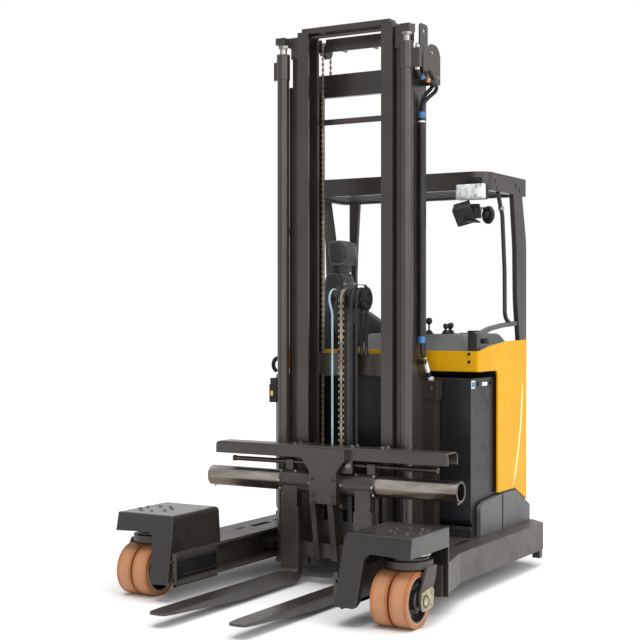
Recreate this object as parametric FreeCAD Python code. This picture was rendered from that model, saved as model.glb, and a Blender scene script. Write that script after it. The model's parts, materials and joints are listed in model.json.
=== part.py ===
import FreeCAD, Part
import math
import os

# Multi-way reach truck. Millimetres, +Z up, forks towards -Y, left side +X.
# Origin on the floor, in the middle of the plan box. Heights below are counted from the
# chassis datum, which lies datum_drop under the floor; save() brings each shape to the floor.

vec = FreeCAD.Vector

# ---- overall ----
mast_height = 3000.0
rear_y = 1230.0
leg_outer = 750.0
leg_bottom = 118.0
leg_height = 152.0
guard_top = 2246.0
datum_drop = 24.0

# ---- clearances ----
seat_gap = 0.3
slide_gap = 6.0
pin_gap = 0.3
corner_room = 6.0

# ---- legs ----
leg_wall = 15.0
leg_flange = 14.0
leg_lip_bottom = 450.0
leg_lip_top = 480.0
channel_web = 575.0
channel_web_wall = 15.0
leg_front_y = -353.0
flare_start_y = -10.0
flare_end_y = -280.0
flare_width = 60.0
rear_corner = 100.0
foot_drop = 44.0
leg_top = leg_bottom + leg_height
leg_slots = ((622, 642, 40, 135, 9), (600, 640, 190, 370, 5), (622, 640, 425, 485, 8),
             (622, 640, 530, 590, 8))

# ---- wheel housings ----
housing_inner = 484.0
housing_outer = 838.0
housing_front_y = -725.0
housing_rear_y = -326.0
housing_lean = 0.218
housing_top = 452.0
housing_wall = 14.0
housing_front_wall = 35.0
skirt_front = 367.0
skirt_side = 357.0
post_inner_foot = 476.0
post_width = 115.0
post_low = 119.0
tongue_web = 484.0
tongue_wall = 10.0
tongue_end = -726.0
kingpin_x = 731.0
kingpin_y = -550.0

# ---- load wheels ----
load_wheel_radius = 130.0
load_wheel_width = 86.0
load_wheel_gap = 12.0
load_tyre = 24.0
load_trail = 80.0
load_axle_radius = 20.0
load_axle_z = load_wheel_radius + datum_drop
arm_gap = 19.0
yoke_arm = 12.0
yoke_arm_depth = 84.0
axle_plate = 6.0
turntable_radius = 116.0
turntable_low = 291.0
turntable_high = 326.0
bearing_low = 346.0
bearing_radius = 104.0

# ---- drive unit ----
drive_x = 200.0
drive_y = 950.0
drive_radius = 171.5
drive_width = 135.0
drive_tyre = 32.0
drive_arm = 30.0
drive_axle_z = drive_radius + datum_drop
deck_low = 385.0
deck_wall = 12.0

# ---- battery ----
battery_half = 611.5
battery_front = 430.0
battery_depth = 353.0
battery_low = 328.0
battery_height = 790.0
battery_rear = battery_front + battery_depth
battery_top = battery_low + battery_height

# ---- body ----
body_half = 635.0
body_wall = 12.0
band_front = 483.0
band_low = 1153.0
band_high = 1264.0
column_front = 745.0
body_rear = 1166.0
shell_low = 478.0
cover_half = 641.0
bulkhead_wall = 12.0
console_inner = 70.0
console_knee = 780.0
console_upper_inner = 240.0
console_top = 1352.0

# ---- seat ----
seat_y = 994.0
seat_width = 372.0
cushion_top = 935.0
backrest_top = 1735.0
headrest_low = 1762.0
headrest_high = 1905.0
headrest_width = 262.0

# ---- overhead guard ----
guard_half = 608.0
guard_front = 640.0
guard_rim = 100.0
guard_rim_wall = 40.0
guard_bar_count = 6

# ---- mast sections ----
inner_front = 140.0
inner_depth = 120.0
inner_lip = 224.0
inner_outer = 291.0
inner_flange = 16.0
inner_web = 12.0
inner_low = 100.0
mid_step = 32.0
mid_flange = 14.0
mid_web = 10.0
mid_width = 44.0
mid_depth = 116.0
mid_low = 90.0
mid_drop = 20.0
outer_step = 8.0
outer_web = 20.0
outer_depth = 212.0
outer_low = 80.0
outer_drop = 288.0
roller_radius = 43.7
cross_wall = 10.0
head_plate_low = 72.0
tie_plate_low = 474.0
tie_plate_high = 443.0
top_beam_rise = 20.0

# ---- lift cylinders ----
lift_x = 378.0
lift_y = 134.0
lift_radius = 33.0
lift_bore = 26.0
lift_rod = 20.0
lift_low = 150.0
cap_radius = 37.0
cap_length = 138.0
lug_gap = 52.0
lug_thick = 38.0
lug_half = 31.0
cover_x = 435.0

# ---- mast carriage ----
tower_front = 355.0
tower_depth = 64.0
tower_outer = 452.0
tower_top = 1106.0
hose_low = 1225.0
hose_y = 297.0
carriage_side_inner = 400.0
carriage_side_outer = 440.0
carriage_roller_front = 275.0
carriage_roller_pitch = 260.0
channel_roller_in = 500.0

# ---- free lift ----
free_y = 204.0
free_radius = 36.0
free_bore = 28.0
free_rod = 24.0
free_top = 1420.0
wheel_y = 200.0
wheel_z = 1545.0
chain_wheel_radius = 52.0
chain_x = -20.0
chain_width = 30.0
chain_thick = 12.0
hose_pulley_x = 60.0
hose_pulley_half = 30.0
hose_pulley_radius = 60.0

# ---- lift carriage and fork frame ----
lift_side_inner = 200.0
lift_side_outer = 222.0
lift_front = 118.0
lift_low_z = 175.0
lift_high_z = 760.0
tilt_y = 88.0
tilt_z = 620.0
tilt_pin = 14.0
tube_y = -3.0
tube_z = 573.0
tube_radius = 55.0
tube_wall = 12.0
tube_half = 751.0
plate_half = 80.0
plate_front = -90.0
plate_wall = 18.0
plate_low = 472.0
bar_half = 700.0
bar_front = -50.0
bar_depth = 120.0
bar_low = 703.0
bar_high = 768.0
bar_wall = 8.0
screw_z = 672.0
screw_y = 8.0
screw_radius = 14.0
screw_half = 620.0

# ---- forks ----
sleeve_start = 80.0
sleeve_length = 205.0
sleeve_radius = 61.0
ring_radius = 67.0
fork_x = 220.0
fork_width = 106.0
fork_tip_half = 44.0
neck_width = 90.0
shank_front = -60.0
shank_thick = 50.0
shoulder_z = 455.0
blade_top = 96.0
blade_low = 46.0
fork_tip = -1230.0


def at(plane, a, b, c):
    """Point of a plane's two coordinates and its normal one."""
    return {"xy": vec(a, b, c), "yz": vec(c, a, b), "xz": vec(a, c, b)}[plane]


def slab(plane, corners, low, high):
    """Straight prism of an outline whose corners are (a, b) or (a, b, radius), from low to high."""
    spots = [vec(c[0], c[1], 0) for c in corners]
    radii = [c[2] if len(c) > 2 else 0 for c in corners]
    stops = []
    count = len(spots)
    for i in range(count):
        here = spots[i]
        back = (spots[i - 1] - here).normalize()
        ahead = (spots[(i + 1) % count] - here).normalize()
        half = back.getAngle(ahead) / 2
        if radii[i] > 0:
            reach = radii[i] / math.tan(half)
            middle = (back + ahead).normalize() * (radii[i] / math.sin(half) - radii[i])
            stops.append((here + back * reach, here + middle, here + ahead * reach))
        else:
            stops.append((here, None, here))

    def lift(p):
        return at(plane, p.x, p.y, low)

    edges = []
    for i in range(count):
        first, middle, last = stops[i]
        if middle is not None:
            edges.append(Part.Arc(lift(first), lift(middle), lift(last)).toShape())
        start = stops[(i + 1) % count][0]
        if (start - last).Length > 1e-6:
            edges.append(Part.makeLine(lift(last), lift(start)))
    face = Part.Face(Part.Wire(edges))
    solid = face.extrude(at(plane, 0, 0, high - low))
    return solid


def box(x0, x1, y0, y1, z0, z1):
    """Block between two corners."""
    return Part.makeBox(x1 - x0, y1 - y0, z1 - z0, vec(x0, y0, z0))


def bar(start, end, radius):
    """Round bar from one point to another."""
    line = end - start
    return Part.makeCylinder(radius, line.Length, start, line)


def ring(start, end, radius, bore):
    """Round bar with a bore through it."""
    return bar(start, end, radius).cut(bar(start, end, bore))


def join(pieces):
    """One solid of pieces that share material."""
    return pieces[0].fuse(pieces[1:]).removeSplitter()


def mirror(shape):
    """The same shape on the other side of the truck."""
    return shape.mirror(vec(0, 0, 0), vec(1, 0, 0))


def bent_tube(points, bend, radius):
    """Round tube along straight runs with rounded bends."""
    stops = [points[0]]
    edges = []
    for i in range(1, len(points) - 1):
        here = points[i]
        back = (points[i - 1] - here).normalize()
        ahead = (points[i + 1] - here).normalize()
        half = back.getAngle(ahead) / 2
        reach = bend / math.tan(half)
        middle = here + (back + ahead).normalize() * (bend / math.sin(half) - bend)
        first = here + back * reach
        last = here + ahead * reach
        edges.append(Part.makeLine(stops[-1], first))
        edges.append(Part.Arc(first, middle, last).toShape())
        stops.append(last)
    edges.append(Part.makeLine(stops[-1], points[-1]))
    path = Part.Wire(edges)
    section = Part.Wire([Part.makeCircle(radius, points[0], points[1] - points[0])])
    return path.makePipeShell([section], True, False)


def pair(shape):
    """A sub-part and its mirror image in one node."""
    return Part.makeCompound([shape, mirror(shape)])


def save(name, shape):
    """Bring one sub-part down from the datum to the floor and write it."""
    shape.translate(vec(0, 0, -datum_drop))
    shape.exportStep("parts/" + name + ".step")


def save_pair(name, shape):
    """Write the right and the left one of a mirrored sub-part."""
    save("right_" + name, mirror(shape))
    save("left_" + name, shape)


# ---- chassis ----

def leg():
    """One outrigger: a closed box outside and an inward channel for the mast rollers."""
    rear_in = rear_y - 90
    outer = [(leg_lip_bottom, leg_front_y), (leg_outer, leg_front_y), (leg_outer, rear_in, 25),
             (leg_outer - rear_corner, rear_y, 60), (leg_lip_bottom, rear_y)]
    plan = slab("xy", outer, leg_bottom, leg_top)
    wall = box(leg_outer - leg_wall, leg_outer, leg_front_y, rear_y, leg_bottom, leg_top)
    top = box(leg_lip_top, leg_outer, leg_front_y, rear_y, leg_top - leg_flange, leg_top)
    low = box(leg_lip_bottom, leg_outer, leg_front_y, rear_y, leg_bottom, leg_bottom + leg_flange)
    web = box(channel_web, channel_web + channel_web_wall, leg_front_y, rear_y, leg_bottom, leg_top)
    end = box(channel_web, leg_outer, rear_in, rear_y, leg_bottom, leg_top)
    section = join([wall, top, low, web, end]).common(plan)
    tongue = [box(leg_lip_top, tongue_web + tongue_wall, tongue_end, leg_front_y, leg_top - leg_flange,
                  leg_top),
              box(leg_lip_bottom, tongue_web + tongue_wall, tongue_end, leg_front_y, leg_bottom,
                  leg_bottom + leg_flange),
              box(tongue_web, tongue_web + tongue_wall, tongue_end, leg_front_y, leg_bottom, leg_top),
              box(leg_lip_bottom, leg_lip_bottom + 23, tongue_end - 26, tongue_end, leg_bottom,
                  leg_bottom + leg_flange),
              box(leg_lip_bottom, leg_lip_bottom + 23, tongue_end - 34, tongue_end - 26, leg_bottom,
                  leg_top)]
    flare = slab("xy", [(leg_outer - leg_wall, flare_start_y), (leg_outer, flare_start_y),
                        (leg_outer + flare_width, flare_end_y), (leg_outer + flare_width, leg_front_y),
                        (leg_outer - leg_wall, leg_front_y)], leg_bottom, leg_top)
    foot = box(leg_outer - 45, leg_outer, rear_in - 60, rear_in - 20, leg_bottom - foot_drop, leg_bottom)
    solid = join([section, flare, foot] + tongue)
    for x0, x1, y0, y1, corner in leg_slots:
        solid = solid.cut(slab("xy", [(x0, y0, corner), (x1, y0, corner), (x1, y1, corner),
                                      (x0, y1, corner)],
                               leg_top - leg_flange - 1, leg_top + 1))
    return solid


def housing_block(inset, low, high):
    """Outline of the housing seen from above, its front face leaning forwards towards the foot."""
    front = housing_front_y - housing_lean * (housing_top - low) - 5
    back = housing_rear_y - inset
    inner = housing_inner + inset
    outer = housing_outer - inset
    block = slab("xy", [(inner - 40, front), (outer, front, 36), (outer, back, 8), (inner - 40, back)],
                 low, high)
    lean = slab("yz", [(housing_front_y, housing_top, 10), (back + 10, housing_top), (back + 10, low - 1),
                       (housing_front_y - housing_lean * (housing_top - low + 1), low - 1)],
                inner - 50, outer + 10)
    shift = housing_front_wall if inset else 0
    return block.translated(vec(0, shift, 0)).common(block).common(lean.translated(vec(0, shift, 0)))


def wheel_housing():
    """Cast cover over a load wheel, open in front and outside below its skirt."""
    foot = [(post_inner_foot, post_low, 14), (housing_inner, leg_top + 40, 200),
            (housing_inner + 8, housing_top, 22),
            (housing_outer + 5, housing_top, 12), (housing_outer + 5, post_low)]
    outside = slab("xz", foot, housing_front_y - 100, housing_rear_y)
    shell = housing_block(0, post_low, housing_top).common(outside)
    hollow = housing_block(housing_wall, post_low - 1, housing_top - housing_wall)
    hollow = hollow.common(box(housing_inner + housing_wall, housing_outer, housing_front_y - 100,
                               housing_rear_y,
                               post_low - 1, housing_top - housing_wall))
    corner = post_inner_foot + post_width
    arch = slab("xz", [(corner - 22, post_low - 5), (corner - 2, post_low + 20, 26),
                       (corner + 12, skirt_front, 42),
                       (housing_outer + 30, skirt_side), (housing_outer + 30, post_low - 5)],
                housing_front_y - 100, housing_rear_y - housing_wall)
    bay = slab("xz", [(tongue_web - 60, post_low - 5), (tongue_web - 60, leg_top + seat_gap),
                      (leg_outer + flare_width + seat_gap, leg_top + seat_gap),
                      (leg_outer + flare_width + seat_gap, post_low - 5)],
               tongue_end - seat_gap, housing_rear_y + 1)
    bearing = bar(vec(kingpin_x, kingpin_y, bearing_low),
                  vec(kingpin_x, kingpin_y, housing_top - housing_wall), bearing_radius)
    return join([shell.cut(hollow).cut(arch).cut(bay), bearing.common(shell)])


def cross_beam():
    """Beam between the legs behind the mast carriage, with a hole for the reach cylinder."""
    reach_x, reach_z = reach_axis()
    beam = box(-leg_lip_bottom, leg_lip_bottom, 660, 720, leg_bottom, leg_top - leg_flange)
    return beam.cut(bar(vec(reach_x, 650, reach_z), vec(reach_x, 730, reach_z), reach_barrel))


reach_barrel = 36.0
reach_rod_radius = 16.0


def reach_axis():
    """Place of the reach cylinder's axis across the truck and its height."""
    return -250.0, 196.0


def reach_cylinder():
    """Barrel of the reach cylinder, carried by the cross beam and the rear beam."""
    x, z = reach_axis()
    tube = ring(vec(x, 480, z), vec(x, 1120, z), reach_barrel, reach_rod_radius + 5)
    gland = ring(vec(x, 480, z), vec(x, 500, z), reach_barrel, reach_rod_radius + pin_gap)
    eye = bar(vec(x, 1120, z), vec(x, 1160, z), reach_barrel)
    return join([tube, gland, eye])


def reach_rod():
    """Rod of the reach cylinder, from the mast carriage into the barrel."""
    x, z = reach_axis()
    return bar(vec(x, outer_back + 25, z), vec(x, 1080, z), reach_rod_radius)


def rear_frame():
    """Rear beam, side walls and rear wall, with the deck and its hole for the drive unit."""
    beam = box(-leg_lip_bottom, leg_lip_bottom, 1160, rear_y, leg_bottom, leg_top)
    sides = []
    for side in (-1, 1):
        low, high = sorted((side * 586, side * 598))
        sides.append(box(low, high, battery_rear + 8, 1213, leg_top, deck_low))
    back = box(-598, 598, 1201, 1213, leg_top, deck_low)
    plate = box(-598, 598, battery_rear + 8 + bulkhead_wall, 1213, deck_low, deck_low + deck_wall)
    hole = bar(vec(drive_x, drive_y, deck_low - 1), vec(drive_x, drive_y, deck_low + deck_wall + 1), 90)
    return join([beam, back, plate] + sides).cut(hole)


def bulkhead():
    """Wall between battery and operator, with the shelf over the battery."""
    front = battery_rear + 8
    wall = box(-598, 598, front, front + bulkhead_wall, deck_low, band_high - 16)
    half = body_half - body_wall - corner_room
    shelf = box(-half, half, band_front + body_wall, front + 5, band_high - 30, band_high - 16)
    return join([wall, shelf])


def battery_tray():
    """Tray that the battery slides onto, on rails along the legs."""
    plate = box(-battery_half, battery_half, battery_front - 4, battery_rear + 6, battery_low - 20,
                battery_low)
    rails = []
    for side in (-1, 1):
        low, high = sorted((side * leg_lip_top, side * battery_half))
        rails.append(box(low, high, battery_front + 6, battery_rear + 6, leg_top, battery_low - 20))
    return join([plate] + rails)


def battery():
    """Closed battery box with two lifting holes near the top of each end."""
    outline = [(battery_front, battery_low, 40), (battery_front, battery_top, 10),
               (battery_rear, battery_top, 10), (battery_rear, battery_low, 10)]
    solid = slab("yz", outline, -battery_half, battery_half)
    for side in (-1, 1):
        for y in (battery_front + 95, battery_rear - 95):
            end = side * battery_half
            solid = solid.cut(bar(vec(end - side * 10, y, battery_top - 31),
                                  vec(end + side, y, battery_top - 31), 12))
    return solid


def body_side():
    """Left side panel of the body: band, column and diagonal foot in one plate."""
    outline = [(band_front + 14, band_low), (band_front + 14, band_high), (640, 1288, 300),
               (860, 1310, 400),
               (body_rear, 1316, 12), (body_rear, 395), (990, shell_low), (column_front, shell_low),
               (column_front, band_low, 32)]
    side = slab("yz", outline, body_half - body_wall, body_half)
    rear = box(body_half - 60, body_half, body_rear - body_wall, body_rear, shell_low, 1300)
    return join([side, rear])


def body_shell():
    """Yellow body: both side panels and the band across the front."""
    outer = slab("xy", [(-body_half, 700), (-body_half, band_front, 16), (body_half, band_front, 16),
                        (body_half, 700)], band_low, band_high)
    inner = slab("xy", [(-body_half + body_wall, 701), (-body_half + body_wall, band_front + body_wall, 6),
                        (body_half - body_wall, band_front + body_wall, 6), (body_half - body_wall, 701)],
                 band_low - 1, band_high + 1)
    left = body_side()
    return join([outer.cut(inner), left, mirror(left)])


def lower_cover():
    """Grey covers at the foot of the body: front one with a rounded shoulder and rear one."""
    foot = leg_top + seat_gap
    split = battery_rear + 13
    front = slab("yz", [(battery_front + 65, foot), (battery_front + 65, 428, 30),
                        (battery_front + 130, 450, 120),
                        (split, 468), (split, foot)], battery_half + 4, cover_half)
    rear = slab("yz", [(split + 4, foot), (split + 4, 468), (986, 468), (1203, 361, 12), (1203, foot)],
                body_half - body_wall + seat_gap, cover_half)
    return Part.makeCompound([front, rear])


def seat_base():
    """Hollow cabinet that carries the seat."""
    front = battery_rear + 8 + bulkhead_wall
    outer = slab("xz", [(-body_half + body_wall, deck_low + deck_wall), (-body_half + body_wall, 800),
                        (-200, 800, 30), (-200, 700, 20), (-330, 560, 60), (-330, deck_low + deck_wall)],
                 front, body_rear - body_wall)
    inner = slab("xz", [(-body_half + body_wall + 8, deck_low + deck_wall - 1),
                        (-body_half + body_wall + 8, 792),
                        (-208, 792, 22), (-208, 703, 14), (-338, 563, 54),
                        (-338, deck_low + deck_wall - 1)],
                 front + 8, body_rear - body_wall - 8)
    return outer.cut(inner)


def seat_cushion():
    """Cushion on the seat base."""
    return slab("xz", [(-545, 800 + seat_gap), (-545, cushion_top, 30), (-60, cushion_top, 60),
                       (-60, 830, 40), (-200, 800 + seat_gap)], seat_y - seat_width / 2,
                       seat_y + seat_width / 2)


def seat_backrest():
    """Backrest that leans back a little, narrower at its top."""
    side = slab("xz", [(-560, cushion_top + seat_gap), (-575, 1500), (-560, backrest_top, 40),
                       (-440, backrest_top, 40), (-450, 1450, 200), (-420, cushion_top + seat_gap)],
                seat_y - seat_width / 2, seat_y + seat_width / 2)
    front = slab("yz", [(seat_y - seat_width / 2, cushion_top), (seat_y - seat_width / 2, 1480, 120),
                        (seat_y - 128, 1600, 200), (seat_y - 125, backrest_top + 5, 40),
                        (seat_y + 125, backrest_top + 5, 40), (seat_y + 128, 1600, 200),
                        (seat_y + seat_width / 2, 1480, 120), (seat_y + seat_width / 2, cushion_top)],
                        -600, -400)
    return side.common(front)


def headrest():
    """Headrest over the backrest."""
    return slab("xz", [(-530, headrest_low, 25), (-541, headrest_high, 30), (-444, headrest_high, 30),
                       (-422, headrest_low, 25)],
                seat_y - headrest_width / 2, seat_y + headrest_width / 2)


def headrest_stems():
    """Two round bars between backrest and headrest."""
    low = backrest_top + seat_gap
    return [bar(vec(-490, seat_y + off, low), vec(-490, seat_y + off, headrest_low - seat_gap), 8)
            for off in (-60, 60)]


def motor_block():
    """Drive motor and gear top above the deck."""
    flange = bar(vec(drive_x, drive_y, deck_low + deck_wall), vec(drive_x, drive_y, deck_low + 40), 120)
    motor = bar(vec(drive_x, drive_y, deck_low + 40), vec(drive_x, drive_y, 700), 100)
    return join([flange, motor])


def pump_block():
    """Pump motor and oil tank beside the drive motor, one plain block."""
    return box(395, 610, battery_rear + 40, 1120, deck_low + deck_wall, 820)


def console():
    """Hollow cabinet under the controls, with a knee step over the motor."""
    base = deck_low + deck_wall
    front = battery_rear + 8 + bulkhead_wall
    half = body_half - body_wall
    back = body_rear - body_wall
    outer = slab("xz", [(console_inner, base), (console_inner, console_knee, 30),
                        (console_upper_inner, console_knee + 60, 30), (console_upper_inner, band_high - 16),
                        (half, band_high - 16), (half, base)], front, back)
    inner = slab("xz", [(console_inner + 8, base - 1), (console_inner + 8, console_knee - 8, 22),
                        (console_upper_inner + 8, console_knee + 52, 22),
                        (console_upper_inner + 8, band_high - 24),
                        (half - 8, band_high - 24), (half - 8, base - 1)], front + 8, back - 8)
    return outer.cut(inner)


def console_lid():
    """Raised dashboard with a sloping front and a rounded outer end."""
    front = band_front + body_wall + 25
    lid = slab("yz", [(front, band_high - 16), (front + 90, console_top, 25),
                      (body_rear - 60, console_top, 25),
                      (body_rear - body_wall, band_high - 16)], -120, 560)
    ends = slab("xz", [(-120, band_high - 16), (-100, console_top + 5, 20), (480, console_top + 5, 50),
                       (560, band_high - 16)], front, body_rear)
    hollow = slab("xz", [(-700, band_high - 20), (-700, console_top + 9),
                         (console_upper_inner, console_top + 9),
                         (console_upper_inner, band_high - 20)], 800, body_rear + 10)
    return lid.common(ends).cut(hollow)


def dashboard_edge():
    """Outer top of the dashboard, between the lid and the body's edge."""
    front = band_front + body_wall
    half = body_half - body_wall - corner_room
    return slab("yz", [(front, band_high - 16), (front, band_high - 2), (640, 1276), (860, 1298),
                       (body_rear - body_wall, 1304), (body_rear - body_wall, band_high - 16)],
                562, half)


def levers():
    """Round-headed levers on the dashboard."""
    sticks = []
    for x, y in ((300, 800), (345, 760), (150, 640)):
        stalk = bar(vec(x, y, console_top), vec(x, y, console_top + 42), 7)
        knob = Part.makeSphere(17, vec(x, y, console_top + 50))
        sticks.append(join([stalk, knob]))
    return sticks


def grab_rail():
    """Upright fin at the front corner and the arched rail from it to the rear post."""
    fin = slab("xz", [(564, band_high - 2), (564, 1367, 22), (617, 1367, 22), (617, band_high - 2)], 497,
               545)
    rail = slab("yz", [(540, 1310), (540, 1355), (720, 1394, 500), (900, 1412, 900), (1125, 1424),
                       (1125, 1398), (900, 1388, 900), (720, 1370, 500), (545, 1328)], 578, 602)
    solid = join([fin.cut(dashboard_edge()), rail, bent_post()])
    return solid.cut(rear_post()).cut(guard_roof())


def guard_roof():
    """Roof frame: a deep rim with rounded front corners and flat bars across."""
    low = guard_top - guard_rim
    outer = slab("xy", [(-guard_half, rear_y, 12), (-guard_half, guard_front, 90),
                        (guard_half, guard_front, 90),
                        (guard_half, rear_y, 12)], low, guard_top)
    wall = guard_rim_wall
    inner = slab("xy", [(-guard_half + wall, rear_y - wall), (-guard_half + wall, guard_front + wall, 50),
                        (guard_half - wall, guard_front + wall, 50), (guard_half - wall, rear_y - wall)],
                 low - 1, guard_top + 1)
    rim = outer.cut(inner)
    span = (rear_y - guard_front - 2 * wall) / guard_bar_count
    bars = []
    for i in range(1, guard_bar_count):
        y = guard_front + wall + span * i
        bars.append(slab("yz", [(y - 8, low + 10), (y - 20, guard_top - 12), (y - 6, guard_top - 12),
                                (y + 6, low + 10)], -guard_half + wall - 5, guard_half - wall + 5))
    return join([rim] + bars)


def rear_post():
    """Wide rear post of the guard on the left side, bowed to the rear."""
    top = guard_top - guard_rim
    low = 1308
    post = slab("yz", [(1036, top), (1080, 1850, 600), (1088, 1545, 900), (1130, low),
                       (rear_y, low), (rear_y, 1880, 500), (1165, top)], guard_half - 28, guard_half)
    foot = box(guard_half - 38, guard_half, body_rear, rear_y, 1180, low + 20)
    return join([post, foot])


def right_posts():
    """Two posts of the guard on the seat's side, wider towards the roof."""
    top = guard_top - guard_rim
    side = slab("yz", [(917, top), (990, 1917, 400), (1012, 1500, 900), (985, 800), (1075, 800),
                       (1112, 1500, 900),
                       (1104, 1920, 400), (1042, top)],
                -guard_half, -guard_half + 16)
    rear = slab("xz", [(-547, top), (-547, 1925, 600), (-534, 1700, 600), (-560, deck_low + deck_wall),
                       (-470, deck_low + deck_wall), (-503, 1700, 600), (-494, 1925, 600), (-480, top)],
                rear_y - 44, rear_y - 18)
    return [side, rear]


def bent_post():
    """Thin bent tube in front of the left rear post."""
    return bent_tube([vec(585, 858, guard_top - guard_rim), vec(585, 925, 2020), vec(585, 958, 1700),
                      vec(585, 962, 1440), vec(585, 1040, 1411)], 60, 12)


def work_lamps():
    """Clear lamp, black lamp and round horn at the roof's front left corner, on one bracket."""
    face = guard_front - seat_gap
    clear = slab("xz", [(450, 2083, 12), (450, 2172, 12), (612, 2172, 12), (612, 2083, 12)], face - 55,
                 face)
    bracket = box(520, 532, face - 50, face - 4, 1985, 2083)
    arm = box(500, 628, face - 40, face - 10, 2034, 2046)
    black = slab("yz", [(face - 120, 2034, 8), (face - 10, 2034, 8), (face - 10, 1965, 20),
                        (face - 96, 1950, 8)],
                 410, 520)
    horn = bar(vec(628, face - 50, 2005), vec(628, face - 4, 2005), 42)
    return join([clear, bracket, arm, black, horn])


# ---- load wheels ----

def wheel_half():
    """Half the width of a pair of twin wheels."""
    return load_wheel_width + load_wheel_gap / 2


def load_yoke():
    """Turntable with two arms that slope forwards to the axle beside the twin wheels."""
    arm_in = wheel_half() + arm_gap
    arm_out = arm_in + yoke_arm
    axle_y = kingpin_y - load_trail
    half = yoke_arm_depth / 2
    disc = bar(vec(kingpin_x, kingpin_y, turntable_low), vec(kingpin_x, kingpin_y, turntable_high),
               turntable_radius)
    hub = bar(vec(kingpin_x, kingpin_y, turntable_high), vec(kingpin_x, kingpin_y,
                                                             bearing_low - seat_gap), 75)
    arms = []
    for side in (-1, 1):
        low, high = sorted((kingpin_x + side * arm_in, kingpin_x + side * arm_out))
        arms.append(slab("yz", [(axle_y - half + 6, load_axle_z - 40, 26),
                                (axle_y - half, load_axle_z + 30, 60),
                                (kingpin_y - 50, turntable_low + 12), (kingpin_y + 50, turntable_low + 12),
                                (kingpin_y + 40, turntable_low - 40, 60),
                                (axle_y + half - 6, load_axle_z - 40, 26)],
                         low, high))
        plate_low, plate_high = sorted((kingpin_x + side * 60, kingpin_x + side * arm_out))
        arms.append(box(plate_low, plate_high, kingpin_y - 50, kingpin_y + 50, turntable_low,
                        turntable_low + 12))
    reach = arm_out + axle_plate + 2
    axle = bar(vec(kingpin_x - reach, axle_y, load_axle_z), vec(kingpin_x + reach, axle_y, load_axle_z),
               load_axle_radius)
    return join([disc, hub, axle] + arms + axle_plates())


def axle_plates():
    """Plated holders over both ends of the load axle."""
    out = wheel_half() + arm_gap + yoke_arm
    y = kingpin_y - load_trail
    z = load_axle_z
    plates = []
    for side in (-1, 1):
        low, high = sorted((kingpin_x + side * out, kingpin_x + side * (out + axle_plate)))
        plates.append(slab("yz", [(y - 38, z - 44, 16), (y - 40, z + 42, 14), (y + 58, z + 56, 16),
                                  (y + 90, z + 48, 20), (y + 76, z - 40, 20)], low, high))
    return plates


def load_rims():
    """Twin wheel centres on one hub."""
    y = kingpin_y - load_trail
    rim = load_wheel_radius - load_tyre
    half = wheel_half()

    def spot(x):
        return vec(kingpin_x + x, y, load_axle_z)
    hub = ring(spot(-half + 2), spot(half - 2), 46, load_axle_radius + pin_gap)
    pieces = [hub]
    for side in (-1, 1):
        low, high = sorted((side * load_wheel_gap / 2, side * half))
        pieces.append(ring(spot(low), spot(high), rim, rim - 9))
        web_low, web_high = sorted((side * (load_wheel_gap / 2 + 30), side * (load_wheel_gap / 2 + 50)))
        pieces.append(ring(spot(web_low), spot(web_high), rim - 4, 40))
    return join(pieces)


def load_tyres():
    """Twin tread rings."""
    y = kingpin_y - load_trail
    rim = load_wheel_radius - load_tyre
    rings = []
    for side in (-1, 1):
        low, high = sorted((side * load_wheel_gap / 2, side * wheel_half()))
        rings.append(ring(vec(kingpin_x + low, y, load_axle_z), vec(kingpin_x + high, y, load_axle_z),
                          load_wheel_radius, rim))
    return Part.makeCompound(rings)


# ---- drive unit ----

def drive_yoke():
    """Turntable and one gear arm beside the drive wheel."""
    half = drive_width / 2
    disc_low = drive_axle_z + drive_radius + 5
    disc = bar(vec(drive_x, drive_y, disc_low), vec(drive_x, drive_y, deck_low - seat_gap), 125)
    arm_low = drive_x + half + 6
    arm = slab("yz", [(drive_y - 70, 134, 60), (drive_y - 90, disc_low + 4),
                      (drive_y + 90, disc_low + 4), (drive_y + 70, 134, 60)],
               arm_low, arm_low + drive_arm)
    stub = bar(vec(arm_low, drive_y, drive_axle_z), vec(drive_x - half + 10, drive_y, drive_axle_z), 35)
    return join([disc, arm, stub])


def drive_rim():
    """Drive wheel centre."""
    half = drive_width / 2
    y, z = drive_y, drive_axle_z
    rim = drive_radius - drive_tyre
    drum = ring(vec(drive_x - half, y, z), vec(drive_x + half, y, z), rim, rim - 12)
    web = ring(vec(drive_x - 20, y, z), vec(drive_x + 20, y, z), rim - 6, 35 + pin_gap)
    return join([drum, web])


def drive_tread():
    """Drive wheel tyre."""
    half = drive_width / 2
    return ring(vec(drive_x - half, drive_y, drive_axle_z), vec(drive_x + half, drive_y, drive_axle_z),
                drive_radius, drive_radius - drive_tyre)


# ---- mast ----

mid_high = mast_height - mid_drop
outer_high = mast_height - outer_drop
lug_top = mid_high - 5.0
lug_low = lug_top - lug_thick
lift_high = lug_low - lug_gap
cap_low = lift_high - cap_length
hose_high = outer_high - 72.0
mid_front = inner_front + mid_step
mid_inner = inner_outer + slide_gap
mid_outer = mid_inner + mid_width
mid_back = mid_front + mid_depth
outer_inner = mid_outer + slide_gap
outer_outer = outer_inner + outer_web
outer_front = mid_front + outer_step
outer_back = outer_front + outer_depth
inner_back = inner_front + inner_depth
mid_chain_x = 212.0
mid_chain_radius = 43.0
chain_wheel_y = mid_back - 7.0 + mid_chain_radius
mid_wheel_z = mid_high - 55.0
outer_beam_low = outer_high - 42.0
outer_beam_high = outer_high + 88.0


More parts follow.
